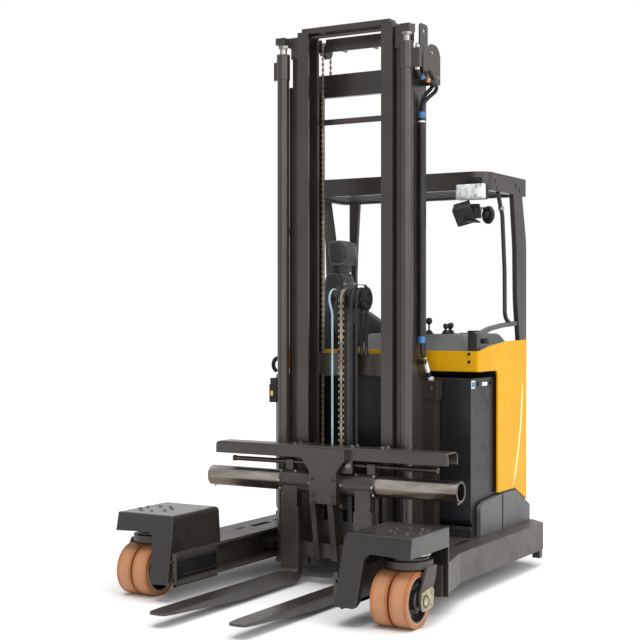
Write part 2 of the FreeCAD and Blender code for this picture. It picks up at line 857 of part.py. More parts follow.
def inner_upright():
    """C-section upright, open towards the middle."""
    web = box(inner_outer - inner_web, inner_outer, inner_front, inner_back, inner_low, mast_height)
    front = box(inner_lip, inner_outer, inner_front, inner_front + inner_flange, inner_low, mast_height)
    back = box(inner_lip, inner_outer, inner_back - inner_flange, inner_back, inner_low, mast_height)
    roller_y = (mid_front + mid_back) / 2
    reach = mid_inner + (mid_width - mid_web) / 2 - 1 - inner_outer
    roller = bar(vec(inner_outer, roller_y, inner_low + 80), vec(inner_outer + reach, roller_y,
                                                                 inner_low + 80),
                 roller_radius)
    return join([web, front, back, roller])


def inner_cross():
    """Cross members of the inner mast: foot, middle plate and top beam."""
    foot = box(-inner_outer, inner_outer, free_y - 50, inner_back, inner_low, inner_low + 60)
    middle = box(-inner_outer, inner_outer, inner_back, inner_back + cross_wall, 1130, 1250)
    top = box(-inner_outer + 21, inner_outer - 21, inner_front + 10, inner_front + 80, mast_height - 10,
              mast_height + top_beam_rise)
    reach = inner_outer - inner_web + 1
    height = mast_height - 26
    tube = bar(vec(-reach, 176, height), vec(reach, 176, height), 11)
    return [foot, middle, top, tube]


def inner_mast():
    """Inner mast section."""
    upright = inner_upright()
    return join([upright, mirror(upright)] + inner_cross())


def mid_upright():
    """I-section upright of the middle mast."""
    web_x = (mid_inner + mid_outer) / 2
    web = box(web_x - mid_web / 2, web_x + mid_web / 2, mid_front, mid_back, mid_low, mid_high)
    front = box(mid_inner, mid_outer, mid_front, mid_front + mid_flange, mid_low, mid_high)
    back = box(mid_inner, mid_outer, mid_back - mid_flange, mid_back, mid_low, mid_high)
    return join([web, front, back])


def head_bracket():
    """Bracket at the middle mast's head that the lift rod pushes on."""
    low = mid_high - 118
    face = slab("xz", [(mid_inner, low), (mid_outer + 2, low), (mid_outer + 2, lug_low - 17, 8),
                       (mid_outer + 40, lug_low, 20), (lift_x + lug_half, lug_low),
                       (lift_x + lug_half, mid_high),
                       (mid_inner, mid_high)], mid_front - 14, mid_front)
    lug = box(mid_outer + 12, lift_x + lug_half, lift_y - lug_half, mid_front - 14, lug_low, lug_top)
    bore = bar(vec(lift_x, lift_y, lug_low - 5), vec(lift_x, lift_y, lug_top + 5), lift_rod + pin_gap)
    return join([face, lug]).cut(bore)


def mid_mast():
    """Middle mast section with its plates and head brackets."""
    upright = mid_upright()
    bracket = head_bracket()
    back = mid_back + cross_wall
    top = box(-mid_outer, mid_outer, mid_back, back, mid_high - head_plate_low, mid_high)
    small = box(-mid_outer, mid_outer, mid_back, back, mid_high - tie_plate_low, mid_high - tie_plate_high)
    foot = box(-mid_outer, mid_outer, mid_back, back, mid_low, mid_low + 80)
    for side in (-1, 1):
        low, high = sorted((side * (mid_chain_x - 14), side * (mid_chain_x + 14)))
        top = top.cut(box(low, high, mid_back - 1, back + 1, mid_wheel_z - 54, mid_high + 1))
    ears = []
    for side in (-1, 1):
        low, high = sorted((side * (mid_chain_x + 18), side * (mid_chain_x + 28)))
        ears.append(box(low, high, back, chain_wheel_y + 25, mid_wheel_z - 30, mid_wheel_z + 30))
        axle_low, axle_high = sorted((side * 80.0, side * (mid_chain_x + 28)))
        ears.append(bar(vec(axle_low, chain_wheel_y, mid_wheel_z),
                        vec(axle_high, chain_wheel_y, mid_wheel_z), 10))
    for side in (-1, 1):
        low, high = sorted((side * 92.0, side * 102.0))
        ears.append(box(low, high, back, chain_wheel_y + 18, mid_wheel_z - 18, mid_wheel_z + 18))
    return join([upright, mirror(upright), bracket, mirror(bracket), top, small, foot] + ears)


def mid_chain_wheels():
    """Chain wheels at the head of the middle mast."""
    wheels = []
    for side in (-1, 1):
        def spot(x):
            return vec(side * mid_chain_x + x, chain_wheel_y, mid_wheel_z)
        tread = ring(spot(-12), spot(12), mid_chain_radius - 6, 10 + pin_gap)
        rims = [ring(spot(-12), spot(-9.5), mid_chain_radius + 4, 30), ring(spot(9.5), spot(12),
                                                                            mid_chain_radius + 4, 30)]
        wheels.append(join([tread] + rims))
    return Part.makeCompound(wheels)


def outer_upright():
    """Outer upright: a web with a rear flange turned inwards, and rollers at its head."""
    web = box(outer_inner, outer_outer, outer_front, outer_back, outer_low, outer_high)
    back = box(inner_lip + 40, outer_outer, outer_back - 14, outer_back, outer_low, outer_high)
    roller_y = (mid_front + mid_back) / 2
    reach = (mid_width - mid_web) / 2 - 1 + slide_gap
    roller = bar(vec(outer_inner - reach, roller_y, outer_high - 70),
                 vec(outer_inner, roller_y, outer_high - 70),
                 roller_radius)
    return join([web, back, roller])


def outer_mast():
    """Outer mast section with its cross members."""
    upright = outer_upright()
    front = mid_back + cross_wall + slide_gap + 1
    beam = box(-outer_outer, outer_outer, outer_back - 14, outer_back, outer_beam_low, outer_beam_high)
    shelf = box(-outer_outer, outer_outer, outer_back - 32, outer_back - 14, outer_beam_low,
                outer_beam_low + 30)
    foot = box(-outer_outer, outer_outer, front, outer_back, outer_low, outer_low + 90)
    return join([upright, mirror(upright), beam, shelf, foot])


def lift_barrel(block_reach):
    """Barrel, cap and port block of a lift cylinder, with its foot bracket."""
    tube = ring(vec(lift_x, lift_y, lift_low), vec(lift_x, lift_y, cap_low), lift_radius, lift_bore)
    cap = ring(vec(lift_x, lift_y, cap_low), vec(lift_x, lift_y, lift_high), cap_radius, lift_rod + pin_gap)
    foot = bar(vec(lift_x, lift_y, lift_low - 14), vec(lift_x, lift_y, lift_low), lift_radius)
    block = box(lift_x + 30, lift_x + block_reach, lift_y - 16, lift_y + 16, cap_low, cap_low + 99)
    bracket = box(outer_outer, lift_x + 30, lift_y - 30, outer_front + 30, lift_low - 44, lift_low - 14)
    pieces = [tube, cap, foot, block, bracket]
    for z in (900, 1900):
        pieces.append(box(outer_outer - 18, outer_outer - 2, lift_y + lift_bore - 1, outer_front, z,
                          z + 40))
    return join(pieces)


def lift_rods():
    """Both lift rods with their nuts under the head brackets."""
    rods = []
    for side in (-1, 1):
        rod = bar(vec(side * lift_x, lift_y, lift_low + 40), vec(side * lift_x, lift_y, mid_high - 4),
                  lift_rod)
        nut = bar(vec(side * lift_x, lift_y, lug_low - 16), vec(side * lift_x, lift_y, lug_low), 22)
        rods.append(join([rod, nut]))
    return Part.makeCompound(rods)


def pulley_cover():
    """Rounded cover over the hose pulleys at the outer mast's head, with a lifting ear."""
    low = outer_high - 22
    cover = slab("yz", [(205, low, 10), (205, low + 130, 60), (290, low + 205, 60), (412, low + 205, 70),
                        (412, low)], cover_x, cover_x + 6)
    back = box(outer_outer, cover_x, outer_back - 12, outer_back, low, low + 110)
    ear_top = mast_height + 12
    ear = slab("yz", [(outer_back - 108, low + 20), (outer_back - 108, ear_top, 20),
                      (outer_back - 12, ear_top, 20),
                      (outer_back - 12, low + 20)], lift_x - 4, lift_x + 4)
    ear = ear.cut(bar(vec(lift_x - 5, outer_back - 52, ear_top - 36),
                      vec(lift_x + 5, outer_back - 52, ear_top - 36),
                      14))
    strap = box(outer_outer, cover_x, outer_back - 108, outer_back - 12, low + 20, low + 30)
    return join([cover, back, ear, strap])


def hose_bundle():
    """Hoses that run up the outer mast's left side, their clamp and the hose that slants to the tower."""
    clamp = box(outer_outer, outer_outer + 56, hose_y - 14, hose_y + 14, hose_low - 30, hose_low)
    hoses = [clamp]
    for i in range(3):
        x = outer_outer + 11 + 17 * i
        hoses.append(bar(vec(x, hose_y, hose_low), vec(x, hose_y, hose_high), 8))
    end = vec(tower_outer - 46, tower_front + 24, tower_top + 30)
    fitting = bar(vec(end.x, end.y, tower_top), end, 13)
    start = vec(outer_outer + 28, hose_y, hose_low - 30)
    middle = vec(outer_outer + 30, hose_y + 4, hose_low - 45)
    hoses.append(join([fitting, bar(start, middle, 9), bar(middle, end, 9),
                       Part.makeSphere(9, middle), Part.makeSphere(9, end)]).cut(clamp))
    return hoses


def cable_block():
    """Connector block on the right lift cylinder, with the small cable loop over it."""
    face = -lift_x - lift_radius - seat_gap
    block = box(face - 52, face, lift_y - 16, lift_y + 52, 977, 1111)
    loop = Part.makeTorus(42, 8, vec(face - 19, lift_y + 44, 1182), vec(0, 1, 0))
    return join([block, loop, box(face - 27, face - 11, lift_y + 36, lift_y + 52, 1110, 1146)])


def mast_carriage():
    """Frame that carries the outer mast between the legs, with a tower on each side."""
    low = outer_low + 20
    rear = carriage_roller_front + carriage_roller_pitch + 50
    radius = leg_height / 2 - leg_flange - seat_gap
    pieces = [box(-carriage_side_outer, carriage_side_outer, outer_back, outer_back + 30, low,
                  leg_top + 20)]
    for side in (-1, 1):
        def across(a, b):
            return sorted((side * a, side * b))
        x0, x1 = across(carriage_side_inner, carriage_side_outer)
        pieces.append(box(x0, x1, 215, rear, low, leg_top + 20))
        x0, x1 = across(outer_outer, carriage_side_outer)
        pieces.append(box(x0, x1, tower_front, tower_front + tower_depth, low, leg_top + 20))
        x0, x1 = across(outer_outer, tower_outer - 14)
        pieces.append(box(x0, x1, tower_front, tower_front + tower_depth, leg_top + 20, tower_top - 100))
        x0, x1 = across(outer_outer, tower_outer)
        pieces.append(box(x0, x1, tower_front - 8, tower_front + tower_depth, tower_top - 100, tower_top))
        for i in range(2):
            y = carriage_roller_front + carriage_roller_pitch * i
            z = (leg_bottom + leg_top) / 2
            pieces.append(bar(vec(side * (carriage_side_outer - 5), y, z),
                              vec(side * channel_roller_in, y, z), 22))
            pieces.append(bar(vec(side * channel_roller_in, y, z), vec(side * (channel_web - 9), y, z),
                              radius))
    return join(pieces + [reach_rod()])


# ---- free lift ----

def free_barrel():
    """Barrel of the free lift cylinder, standing on the inner mast's foot."""
    low = inner_low + 60
    tube = ring(vec(0, free_y, low), vec(0, free_y, free_top - 30), free_radius, free_bore)
    cap = ring(vec(0, free_y, free_top - 30), vec(0, free_y, free_top), free_radius + 4, free_rod + pin_gap)
    return join([tube, cap])


def crosshead():
    """Rod of the free lift cylinder with the block and axle that carry the wheels."""
    rod = bar(vec(0, free_y, inner_low + 100), vec(0, free_y, free_top + 50), free_rod)
    right = hose_pulley_x + hose_pulley_half + 6
    block = box(-70, right + 8, free_y - 30, free_y + 30, free_top + 50, free_top + 62)
    plates = []
    for x in (-70, 10, right):
        plates.append(slab("yz", [(wheel_y - 26, free_top + 50), (wheel_y - 26, wheel_z + 26, 26),
                                  (wheel_y + 26, wheel_z + 26, 26), (wheel_y + 26, free_top + 50)], x,
                                  x + 8))
    axle = bar(vec(-110, wheel_y, wheel_z), vec(right + 8, wheel_y, wheel_z), 10)
    return join([rod, block, axle] + plates)


def crosshead_wheels():
    """Chain wheel and hose pulleys on the crosshead."""
    def spot(x):
        return vec(x, wheel_y, wheel_z)
    half = chain_width / 2 + 4
    chain = join([ring(spot(chain_x - half), spot(chain_x + half), chain_wheel_radius - chain_thick / 2,
                       10 + pin_gap),
                  ring(spot(chain_x - half), spot(chain_x - half + 3), chain_wheel_radius + 5, 30),
                  ring(spot(chain_x + half - 3), spot(chain_x + half), chain_wheel_radius + 5, 30)])
    left, right = hose_pulley_x - hose_pulley_half, hose_pulley_x + hose_pulley_half
    hose = join([ring(spot(left), spot(right), hose_pulley_radius - 14, 10 + pin_gap),
                 ring(spot(left), spot(left + 3), hose_pulley_radius, 30),
                 ring(spot(hose_pulley_x - 2), spot(hose_pulley_x + 2), hose_pulley_radius, 30),
                 ring(spot(right - 3), spot(right), hose_pulley_radius, 30)])
    thin = ring(spot(-100), spot(-88), chain_wheel_radius, 10 + pin_gap)
    return Part.makeCompound([chain, hose, thin])


def free_chain_front():
    """Chain run from the crosshead down to the lift carriage."""
    y = wheel_y - chain_wheel_radius
    return box(chain_x - chain_width / 2, chain_x + chain_width / 2, y - chain_thick / 2,
               y + chain_thick / 2,
               410, wheel_z)


def free_chain_rear():
    """Chain run from the crosshead down to the inner mast's middle plate."""
    y = wheel_y + chain_wheel_radius
    return box(chain_x - chain_width / 2, chain_x + chain_width / 2, y - chain_thick / 2,
               y + chain_thick / 2,
               1250, wheel_z)


def mid_chains(side):
    """Front and rear chain runs of one chain wheel at the middle mast's head."""
    x0, x1 = side * mid_chain_x - 9, side * mid_chain_x + 9
    front_y = chain_wheel_y - mid_chain_radius
    rear_y_run = chain_wheel_y + mid_chain_radius
    front = box(x0, x1, front_y - 5, front_y + 5, inner_low + 60, mid_wheel_z)
    rear = box(x0, x1, rear_y_run - 5, rear_y_run + 5, outer_beam_high, mid_wheel_z)
    return [front, rear]


# ---- lift carriage and forks ----

def lift_carriage():
    """Carriage that runs in the inner mast: side plates, rollers, front plates, pivot ears and chain lug."""
    back = inner_back - 25
    pieces = [box(-lift_side_inner, lift_side_inner, lift_front, lift_front + 16, lift_low_z + 30,
                  lift_low_z + 180),
              box(-lift_side_inner, lift_side_inner, lift_front, lift_front + 16, lift_high_z - 230,
                  lift_high_z)]
    for side in (-1, 1):
        low, high = sorted((side * lift_side_inner, side * lift_side_outer))
        pieces.append(box(low, high, lift_front, back, lift_low_z, lift_high_z))
        low, high = sorted((side * 40.0, side * 60.0))
        pieces.append(box(low, high, lift_front, lift_front + 16, lift_low_z + 30, lift_high_z))
        ear = slab("yz", [(lift_front + 2, tilt_z - 45), (tilt_y, tilt_z - 22, 12),
                          (tilt_y - 22, tilt_z, 14),
                          (tilt_y, tilt_z + 22, 12), (lift_front + 2, tilt_z + 45)], low, high)
        pieces.append(ear)
        for z in (lift_low_z + 60, lift_high_z - 60):
            roller_y = (inner_front + inner_back) / 2
            pieces.append(bar(vec(side * lift_side_outer, roller_y, z),
                              vec(side * (inner_outer - inner_web - 7), roller_y, z), roller_radius))
    pieces.append(box(chain_x - 22, chain_x + 22, lift_front, wheel_y - chain_wheel_radius + 8, 350, 410))
    solid = join(pieces)
    return solid.cut(bar(vec(-90, tilt_y, tilt_z), vec(90, tilt_y, tilt_z), tilt_pin + pin_gap))


def fork_frame():
    """Centre plate, side webs, lower bars and lower beam of the tilting frame."""
    plate = slab("xz", [(-plate_half, plate_low), (-plate_half, 640, 40), (-130, 706, 30),
                        (-130, bar_high - 6),
                        (130, bar_high - 6), (130, 706, 30), (plate_half, 640, 40),
                        (plate_half, plate_low)],
                 plate_front, plate_front + plate_wall)
    pieces = [plate]
    back = plate_front + plate_wall
    for side in (-1, 1):
        low, high = sorted((side * (plate_half - 14), side * plate_half))
        web = slab("yz", [(back - 2, plate_low), (back - 2, bar_low), (tilt_y + 10, bar_low, 20),
                          (tilt_y + 22, tilt_z, 20), (tilt_y, tilt_z - 40, 20), (10, plate_low, 20)],
                          low, high)
        pieces.append(web)
    for low, high in ((-plate_half, -50), (24, 58)):
        pieces.append(slab("yz", [(back - 14, plate_low + 10), (back + 50, plate_low + 10), (24, 168),
                                  (-34, 168)],
                           low, high))
    pieces.append(box(-300, 300, shank_front + shank_thick + seat_gap, 24, 172, 250))
    pieces.append(bar(vec(-plate_half, tilt_y, tilt_z), vec(plate_half, tilt_y, tilt_z), tilt_pin))
    solid = join(pieces)
    solid = solid.cut(bar(vec(-100, tube_y, tube_z), vec(100, tube_y, tube_z), tube_radius))
    return solid.cut(bar(vec(-100, screw_y, screw_z), vec(100, screw_y, screw_z), screw_radius))


def fork_tube():
    """Thick tube that the fork sleeves slide on."""
    return ring(vec(-tube_half, tube_y, tube_z), vec(tube_half, tube_y, tube_z), tube_radius,
                tube_radius - tube_wall)


def load_bar():
    """Channel bar over the tube, open downwards."""
    back = bar_front + bar_depth
    outer = slab("yz", [(bar_front, bar_low), (bar_front, bar_high, 12), (back, bar_high, 12),
                        (back, bar_low)],
                 -bar_half, bar_half)
    inner = slab("yz", [(bar_front + bar_wall, bar_low - 1), (bar_front + bar_wall, bar_high - bar_wall, 5),
                        (back - bar_wall, bar_high - bar_wall, 5), (back - bar_wall, bar_low - 1)],
                 -bar_half - 1, bar_half + 1)
    ends = slab("xz", [(-bar_half, bar_low), (-bar_half, bar_high, 22), (bar_half, bar_high, 22),
                       (bar_half, bar_low)], bar_front, back)
    lip = slab("xz", [(-130, bar_low), (-130, bar_high - 6), (130, bar_high - 6), (130, bar_low)],
               plate_front + plate_wall, bar_front)
    return join([outer.cut(inner).common(ends), lip])


def spread_screw():
    """Screw that spreads the forks, under the load bar."""
    return bar(vec(-screw_half, screw_y, screw_z), vec(screw_half, screw_y, screw_z), screw_radius)


def sleeve():
    """Sleeve of the left fork, with end rings and the nut on the spread screw."""
    end = sleeve_start + sleeve_length

    def spot(x):
        return vec(x, tube_y, tube_z)
    tube = bar(spot(sleeve_start), spot(end), sleeve_radius)
    outer_ring = bar(spot(end - 14), spot(end), ring_radius)
    nut = slab("yz", [(screw_y - 24, tube_z + 40), (screw_y - 24, screw_z + 18, 8),
                      (screw_y + 24, screw_z + 18, 8),
                      (screw_y + 24, tube_z + 40)], end - 60, end - 15)
    solid = join([tube, outer_ring, nut])
    solid = solid.cut(bar(spot(sleeve_start - 1), spot(end + 1), tube_radius + pin_gap))
    return solid.cut(bar(vec(sleeve_start, screw_y, screw_z), vec(end + 1, screw_y, screw_z),
                         screw_radius + pin_gap))


def fork():
    """Fork: neck under the sleeve, wide shank, heel and tapered blade."""
    half = fork_width / 2
    back = shank_front + shank_thick
    neck = box(fork_x - neck_width / 2, fork_x + neck_width / 2, shank_front, back, shoulder_z, tube_z - 20)
    outline = [(shank_front, shoulder_z), (shank_front, blade_top, 26), (fork_tip, blade_top),
               (fork_tip, blade_top - 12), (fork_tip + 620, blade_low, 900), (back, blade_low, 60),
               (back, shoulder_z)]
    body = slab("yz", outline, fork_x - half, fork_x + half)
    tip = fork_tip_half
    plan = slab("xy", [(fork_x - tip, fork_tip, 26), (fork_x - half, fork_tip + 90, 80),
                       (fork_x - half, back + 1),
                       (fork_x + half, back + 1), (fork_x + half, fork_tip + 90, 80),
                       (fork_x + tip, fork_tip, 26)],
                blade_low - 10, shoulder_z + 1)
    shoulder = slab("xz", [(fork_x - half, blade_low - 5), (fork_x - half, shoulder_z - 22),
                           (fork_x - half + 14, shoulder_z), (fork_x + half - 14, shoulder_z),
                           (fork_x + half, shoulder_z - 22), (fork_x + half, blade_low - 5)],
                    fork_tip - 5, back + 5)
    solid = join([body.common(plan).common(shoulder), neck])
    return solid.cut(bar(vec(fork_x - 100, tube_y, tube_z), vec(fork_x + 100, tube_y, tube_z),
                         sleeve_radius + pin_gap))


os.makedirs("parts", exist_ok=True)

save_pair("leg", leg())
save_pair("wheel_housing", wheel_housing())
save("cross_beam", cross_beam())
save("reach_cylinder", reach_cylinder())
save("rear_frame", rear_frame())
save("bulkhead", bulkhead())
save("battery_tray", battery_tray())
save("battery", battery())
save("body_shell", body_shell())
save("lower_covers", pair(lower_cover()))
save("seat_base", seat_base())
save("seat_cushion", seat_cushion())
save("seat_backrest", seat_backrest())
save("headrest", Part.makeCompound([headrest()] + headrest_stems()))
save("power_blocks", Part.makeCompound([motor_block(), pump_block()]))
save("console", console())
save("dashboard", join([console_lid(), dashboard_edge()]))
save("levers", Part.makeCompound(levers()))
save("grab_rail", grab_rail())
save("guard_roof", guard_roof())
save("guard_posts", Part.makeCompound([rear_post()] + right_posts()))
save_pair("load_yoke", load_yoke())
save_pair("load_rims", load_rims())
save_pair("load_tyres", load_tyres())
save("drive_yoke", drive_yoke())
save("drive_rim", drive_rim())
save("drive_tyre", drive_tread())
save("mast_carriage", mast_carriage())
save("outer_mast", outer_mast())
save("lift_barrels", Part.makeCompound([lift_barrel(80), mirror(lift_barrel(52))]))
save("pulley_cover", pulley_cover())
save("mast_hoses", Part.makeCompound(hose_bundle() + [cable_block()]))
save("work_lamps", work_lamps())
save("mid_mast", mid_mast())
save("mid_chain_wheels", mid_chain_wheels())
save("lift_rods", lift_rods())
save("inner_mast", inner_mast())
save("free_barrel", free_barrel())
save("crosshead", crosshead())
save("crosshead_wheels", crosshead_wheels())
save("free_lift_chain", Part.makeCompound([free_chain_front(), free_chain_rear()]))
save("mid_lift_chains", Part.makeCompound(mid_chains(-1) + mid_chains(1)))
save("lift_carriage", lift_carriage())
save("fork_frame", fork_frame())
save("fork_tube", fork_tube())
save("load_bar", load_bar())
save("spread_screw", spread_screw())
save_pair("sleeve", sleeve())
save_pair("fork", fork())
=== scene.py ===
import bpy, bmesh, json, math
import numpy as np
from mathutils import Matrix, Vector


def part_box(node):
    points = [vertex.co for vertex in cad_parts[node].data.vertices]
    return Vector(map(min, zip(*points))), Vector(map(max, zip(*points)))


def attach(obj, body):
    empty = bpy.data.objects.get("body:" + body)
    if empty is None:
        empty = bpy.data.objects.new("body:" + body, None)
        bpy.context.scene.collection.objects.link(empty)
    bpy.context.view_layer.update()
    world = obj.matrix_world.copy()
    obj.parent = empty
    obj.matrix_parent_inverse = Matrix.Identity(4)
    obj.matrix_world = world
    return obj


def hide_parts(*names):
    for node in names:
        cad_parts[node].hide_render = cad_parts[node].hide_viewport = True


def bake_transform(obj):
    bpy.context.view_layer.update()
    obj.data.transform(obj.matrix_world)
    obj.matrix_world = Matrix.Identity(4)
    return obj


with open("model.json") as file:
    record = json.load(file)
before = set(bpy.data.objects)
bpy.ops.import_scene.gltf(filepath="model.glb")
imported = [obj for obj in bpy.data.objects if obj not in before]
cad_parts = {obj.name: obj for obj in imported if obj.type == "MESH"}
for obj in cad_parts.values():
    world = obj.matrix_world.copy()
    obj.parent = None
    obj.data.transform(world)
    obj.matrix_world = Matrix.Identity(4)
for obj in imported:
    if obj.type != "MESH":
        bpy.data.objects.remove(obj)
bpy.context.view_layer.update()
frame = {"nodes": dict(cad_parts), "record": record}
nodes = frame["nodes"]
slotOf = {part["node"]: part["material_slot"] for part in frame["record"]["subparts"]}
sides = (("left", 1), ("right", -1))  # the truck's own sides and their sign along X
print("frame loaded,", len(nodes), "nodes")


def corners(node):  # lowest and highest corner of a node as arrays
    low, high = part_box(node)
    return np.array(low), np.array(high)


def middleOf(node):  # the middle of a node's box
    return tuple(float(value) for value in sum(corners(node)) / 2)


# ---- shader wiring ----

class Wire:  # one node socket that can stand in a sum
    def __init__(self, finish, socket):
        self.finish, self.socket = finish, socket

    def sum(self, operation, first, second):
        return self.finish.add("ShaderNodeMath", {"operation": operation}, {0: first, 1: second})

    def __add__(self, other): return self.sum("ADD", self, other)
    def __radd__(self, other): return self.sum("ADD", other, self)
    def __sub__(self, other): return self.sum("SUBTRACT", self, other)
    def __rsub__(self, other): return self.sum("SUBTRACT", other, self)
    def __mul__(self, other): return self.sum("MULTIPLY", self, other)
    def __rmul__(self, other): return self.sum("MULTIPLY", other, self)
    def __truediv__(self, other): return self.sum("DIVIDE", self, other)


class Finish:  # a material and the few calls that build its nodes
    def __init__(self, name, color, roughness, metallic=0.0, **constants):
        self.material = bpy.data.materials.new(name)
        self.material.use_nodes = True
        self.tree = self.material.node_tree
        self.shader = self.tree.nodes["Principled BSDF"]
        self.put("Base Color", (*color, 1))
        self.put("Roughness", roughness)
        self.put("Metallic", metallic)
        for socket, value in constants.items():
            self.put(socket.replace("_", " "), value)

    def fill(self, socket, value):
        if isinstance(value, Wire):
            self.tree.links.new(value.socket, socket)
        else:
            socket.default_value = value

    def put(self, name, value):
        self.fill(self.shader.inputs[name], value)

    def add(self, kind, settings=None, sockets=None, out=0):
        node = self.tree.nodes.new(kind)
        for key, value in (settings or {}).items():
            if key == "stops":  # ramp stops as (place, grey or colour)
                for index, (place, shade) in enumerate(value):
                    stop = node.color_ramp.elements[index] if index < 2 else node.color_ramp.elements.new(place)
                    stop.position = place
                    stop.color = (*shade, 1) if isinstance(shade, tuple) else (shade, shade, shade, 1)
            else:
                setattr(node, key, value)
        for key, value in (sockets or {}).items():
            self.fill(node.inputs[key], value)
        return Wire(self, node.outputs[out])

    def place(self, scale=(1, 1, 1), shift=(0, 0, 0)):  # object coordinates, shifted and stretched
        here = self.add("ShaderNodeTexCoord", out="Object")
        return self.add("ShaderNodeMapping", {}, {"Vector": here, "Location": shift, "Scale": scale})

    def axis(self, name):  # one object coordinate
        here = self.add("ShaderNodeTexCoord", out="Object")
        return self.add("ShaderNodeSeparateXYZ", {}, {"Vector": here}, out=name)

    def absolute(self, value):
        return self.add("ShaderNodeMath", {"operation": "ABSOLUTE"}, {0: value})

    def baseColor(self):  # what colours the surface so far
        return Wire(self, self.shader.inputs["Base Color"].links[0].from_socket)

    def noise(self, scale, stretch=(1, 1, 1), detail=3.0, roughness=0.55):
        return self.add("ShaderNodeTexNoise", {}, {"Vector": self.place(stretch), "Scale": scale, "Detail": detail,
                                                   "Roughness": roughness})

    def band(self, value, low, high):  # 0 under low, 1 over high, smooth between
        return self.add("ShaderNodeMapRange", {"interpolation_type": "SMOOTHSTEP"},
                        {"Value": value, "From Min": low, "From Max": high})

    def mixed(self, factor, first, second):
        one = (*first, 1) if isinstance(first, tuple) else first
        two = (*second, 1) if isinstance(second, tuple) else second
        return self.add("ShaderNodeMix", {"data_type": "RGBA"}, {0: factor, 6: one, 7: two}, out=2)

    def edges(self, radius):  # how sharply the surface turns inside radius, and the softened normal
        soft = self.add("ShaderNodeBevel", {"samples": 6}, {"Radius": radius})
        flat = self.add("ShaderNodeNewGeometry", out="Normal")
        turn = self.add("ShaderNodeVectorMath", {"operation": "DOT_PRODUCT"}, {0: soft, 1: flat}, out="Value")
        return soft, 1 - turn

    def relief(self, height, depth, normal=None):
        sockets = {"Height": height, "Distance": depth, "Strength": 1.0}
        if normal is not None:
            sockets["Normal"] = normal
        self.put("Normal", self.add("ShaderNodeBump", {}, sockets))
        return self


def paint(name, settings):
    # coloured coat: slow colour drift, dust in faint clouds, fine orange peel, wear along edges
    base, drift = settings["color"], settings.get("drift", 0.16)
    finish = Finish(name, base, settings["roughness"], **settings.get("shader", {}))
    cloud = finish.noise(3.1, detail=5)
    peel = finish.noise(settings.get("grain", 260), detail=2)
    soft, turn = finish.edges(settings.get("edge", 0.003))
    dark = tuple(c * (1 - drift) for c in base)
    light = tuple(min(1, c * (1 + drift) + 0.02 * drift) for c in base)
    color = finish.mixed(finish.band(cloud, 0.36, 0.68), dark, light)
    wear = finish.band(turn * (0.5 + finish.noise(40)), 0.10, 0.34) * settings.get("wear", 0.5)
    finish.put("Base Color", finish.mixed(wear, color, (0.30, 0.29, 0.28)))
    smudge = finish.band(finish.noise(14, detail=6), 0.42, 0.75)
    finish.put("Roughness", settings["roughness"] + 0.10 * smudge - 0.05 * cloud)
    return finish.relief(peel, settings.get("depth", 0.00012), soft)


def steel(name, settings):
    # bare metal: fine drawn lines along one axis, faint stains and light scratches
    base = settings["color"]
    finish = Finish(name, base, settings["roughness"], metallic=1.0)
    lines = finish.noise(55, settings["along"], detail=6, roughness=0.7)
    stain = finish.noise(7, settings.get("stains", (1, 1, 1)), detail=4)
    dark, light = (tuple(min(1, c * k) for c in base) for k in (0.55, 1.25))
    color = finish.mixed(finish.band(stain, 0.38, 0.66), dark, light)
    finish.put("Base Color", finish.mixed(finish.band(lines, 0.3, 0.7) * 0.5, color, base))
    finish.put("Roughness", settings["roughness"] + 0.22 * lines + 0.12 * stain - 0.12)
    return finish.relief(lines, settings.get("depth", 0.00015))


def moulded(name, settings):
    # plastic: leather-like grain with a few dusty patches
    base = settings["color"]
    finish = Finish(name, base, settings["roughness"], **settings.get("shader", {}))
    grain = {"Vector": finish.place(), "Scale": settings.get("grain", 420)}
    cells = finish.add("ShaderNodeTexVoronoi", {"feature": "SMOOTH_F1"}, grain)
    soft, turn = finish.edges(0.003)
    cloud = finish.noise(5, detail=5)
    dusty = tuple(min(1, c * 1.35 + 0.006) for c in base)
    rubbed = tuple(min(1, c * 2.2 + 0.02) for c in base)
    color = finish.mixed(finish.band(cloud, 0.35, 0.7), base, dusty)
    finish.put("Base Color", finish.mixed(finish.band(turn, 0.08, 0.4) * 0.35, color, rubbed))
    finish.put("Roughness", settings["roughness"] + 0.12 * cloud - 0.06)
    return finish.relief(cells, 0.0002, soft)


mastPaint = paint("mastPaint", {"color": (0.024, 0.018, 0.013), "roughness": 0.34, "wear": 0.12, "edge": 0.004,
                                "shader": {"Coat_Weight": 0.35, "Coat_Roughness": 0.22}})
legPaint = paint("legPaint", {"color": (0.040, 0.033, 0.026), "roughness": 0.42, "wear": 0.18})
housingPaint = paint("housingPaint", {"color": (0.016, 0.0135, 0.011), "roughness": 0.28, "edge": 0.009, "wear": 0.0,
                                      "depth": 0.00002, "shader": {"Coat_Weight": 0.35, "Coat_Roughness": 0.20,
                                                                   "Specular_IOR_Level": 0.4}})
batteryPaint = paint("batteryPaint", {"color": (0.009, 0.009, 0.012), "roughness": 0.34, "edge": 0.004, "wear": 0.04,
                                      "grain": 500, "shader": {"Specular_IOR_Level": 0.3}})
darkPaint = paint("darkPaint", {"color": (0.016, 0.015, 0.014), "roughness": 0.36, "wear": 0.15})
guardPaint = paint("guardPaint", {"color": (0.026, 0.021, 0.018), "roughness": 0.38, "wear": 0.10, "edge": 0.005})
bodyYellow = paint("bodyYellow", {"color": (0.64, 0.325, 0.004), "roughness": 0.40, "edge": 0.010, "wear": 0.0,
                                  "drift": 0.04, "grain": 420, "depth": 0.00004, "shader": {"Specular_IOR_Level": 0.14}})
coverPlastic = moulded("coverPlastic", {"color": (0.070, 0.069, 0.071), "roughness": 0.50})
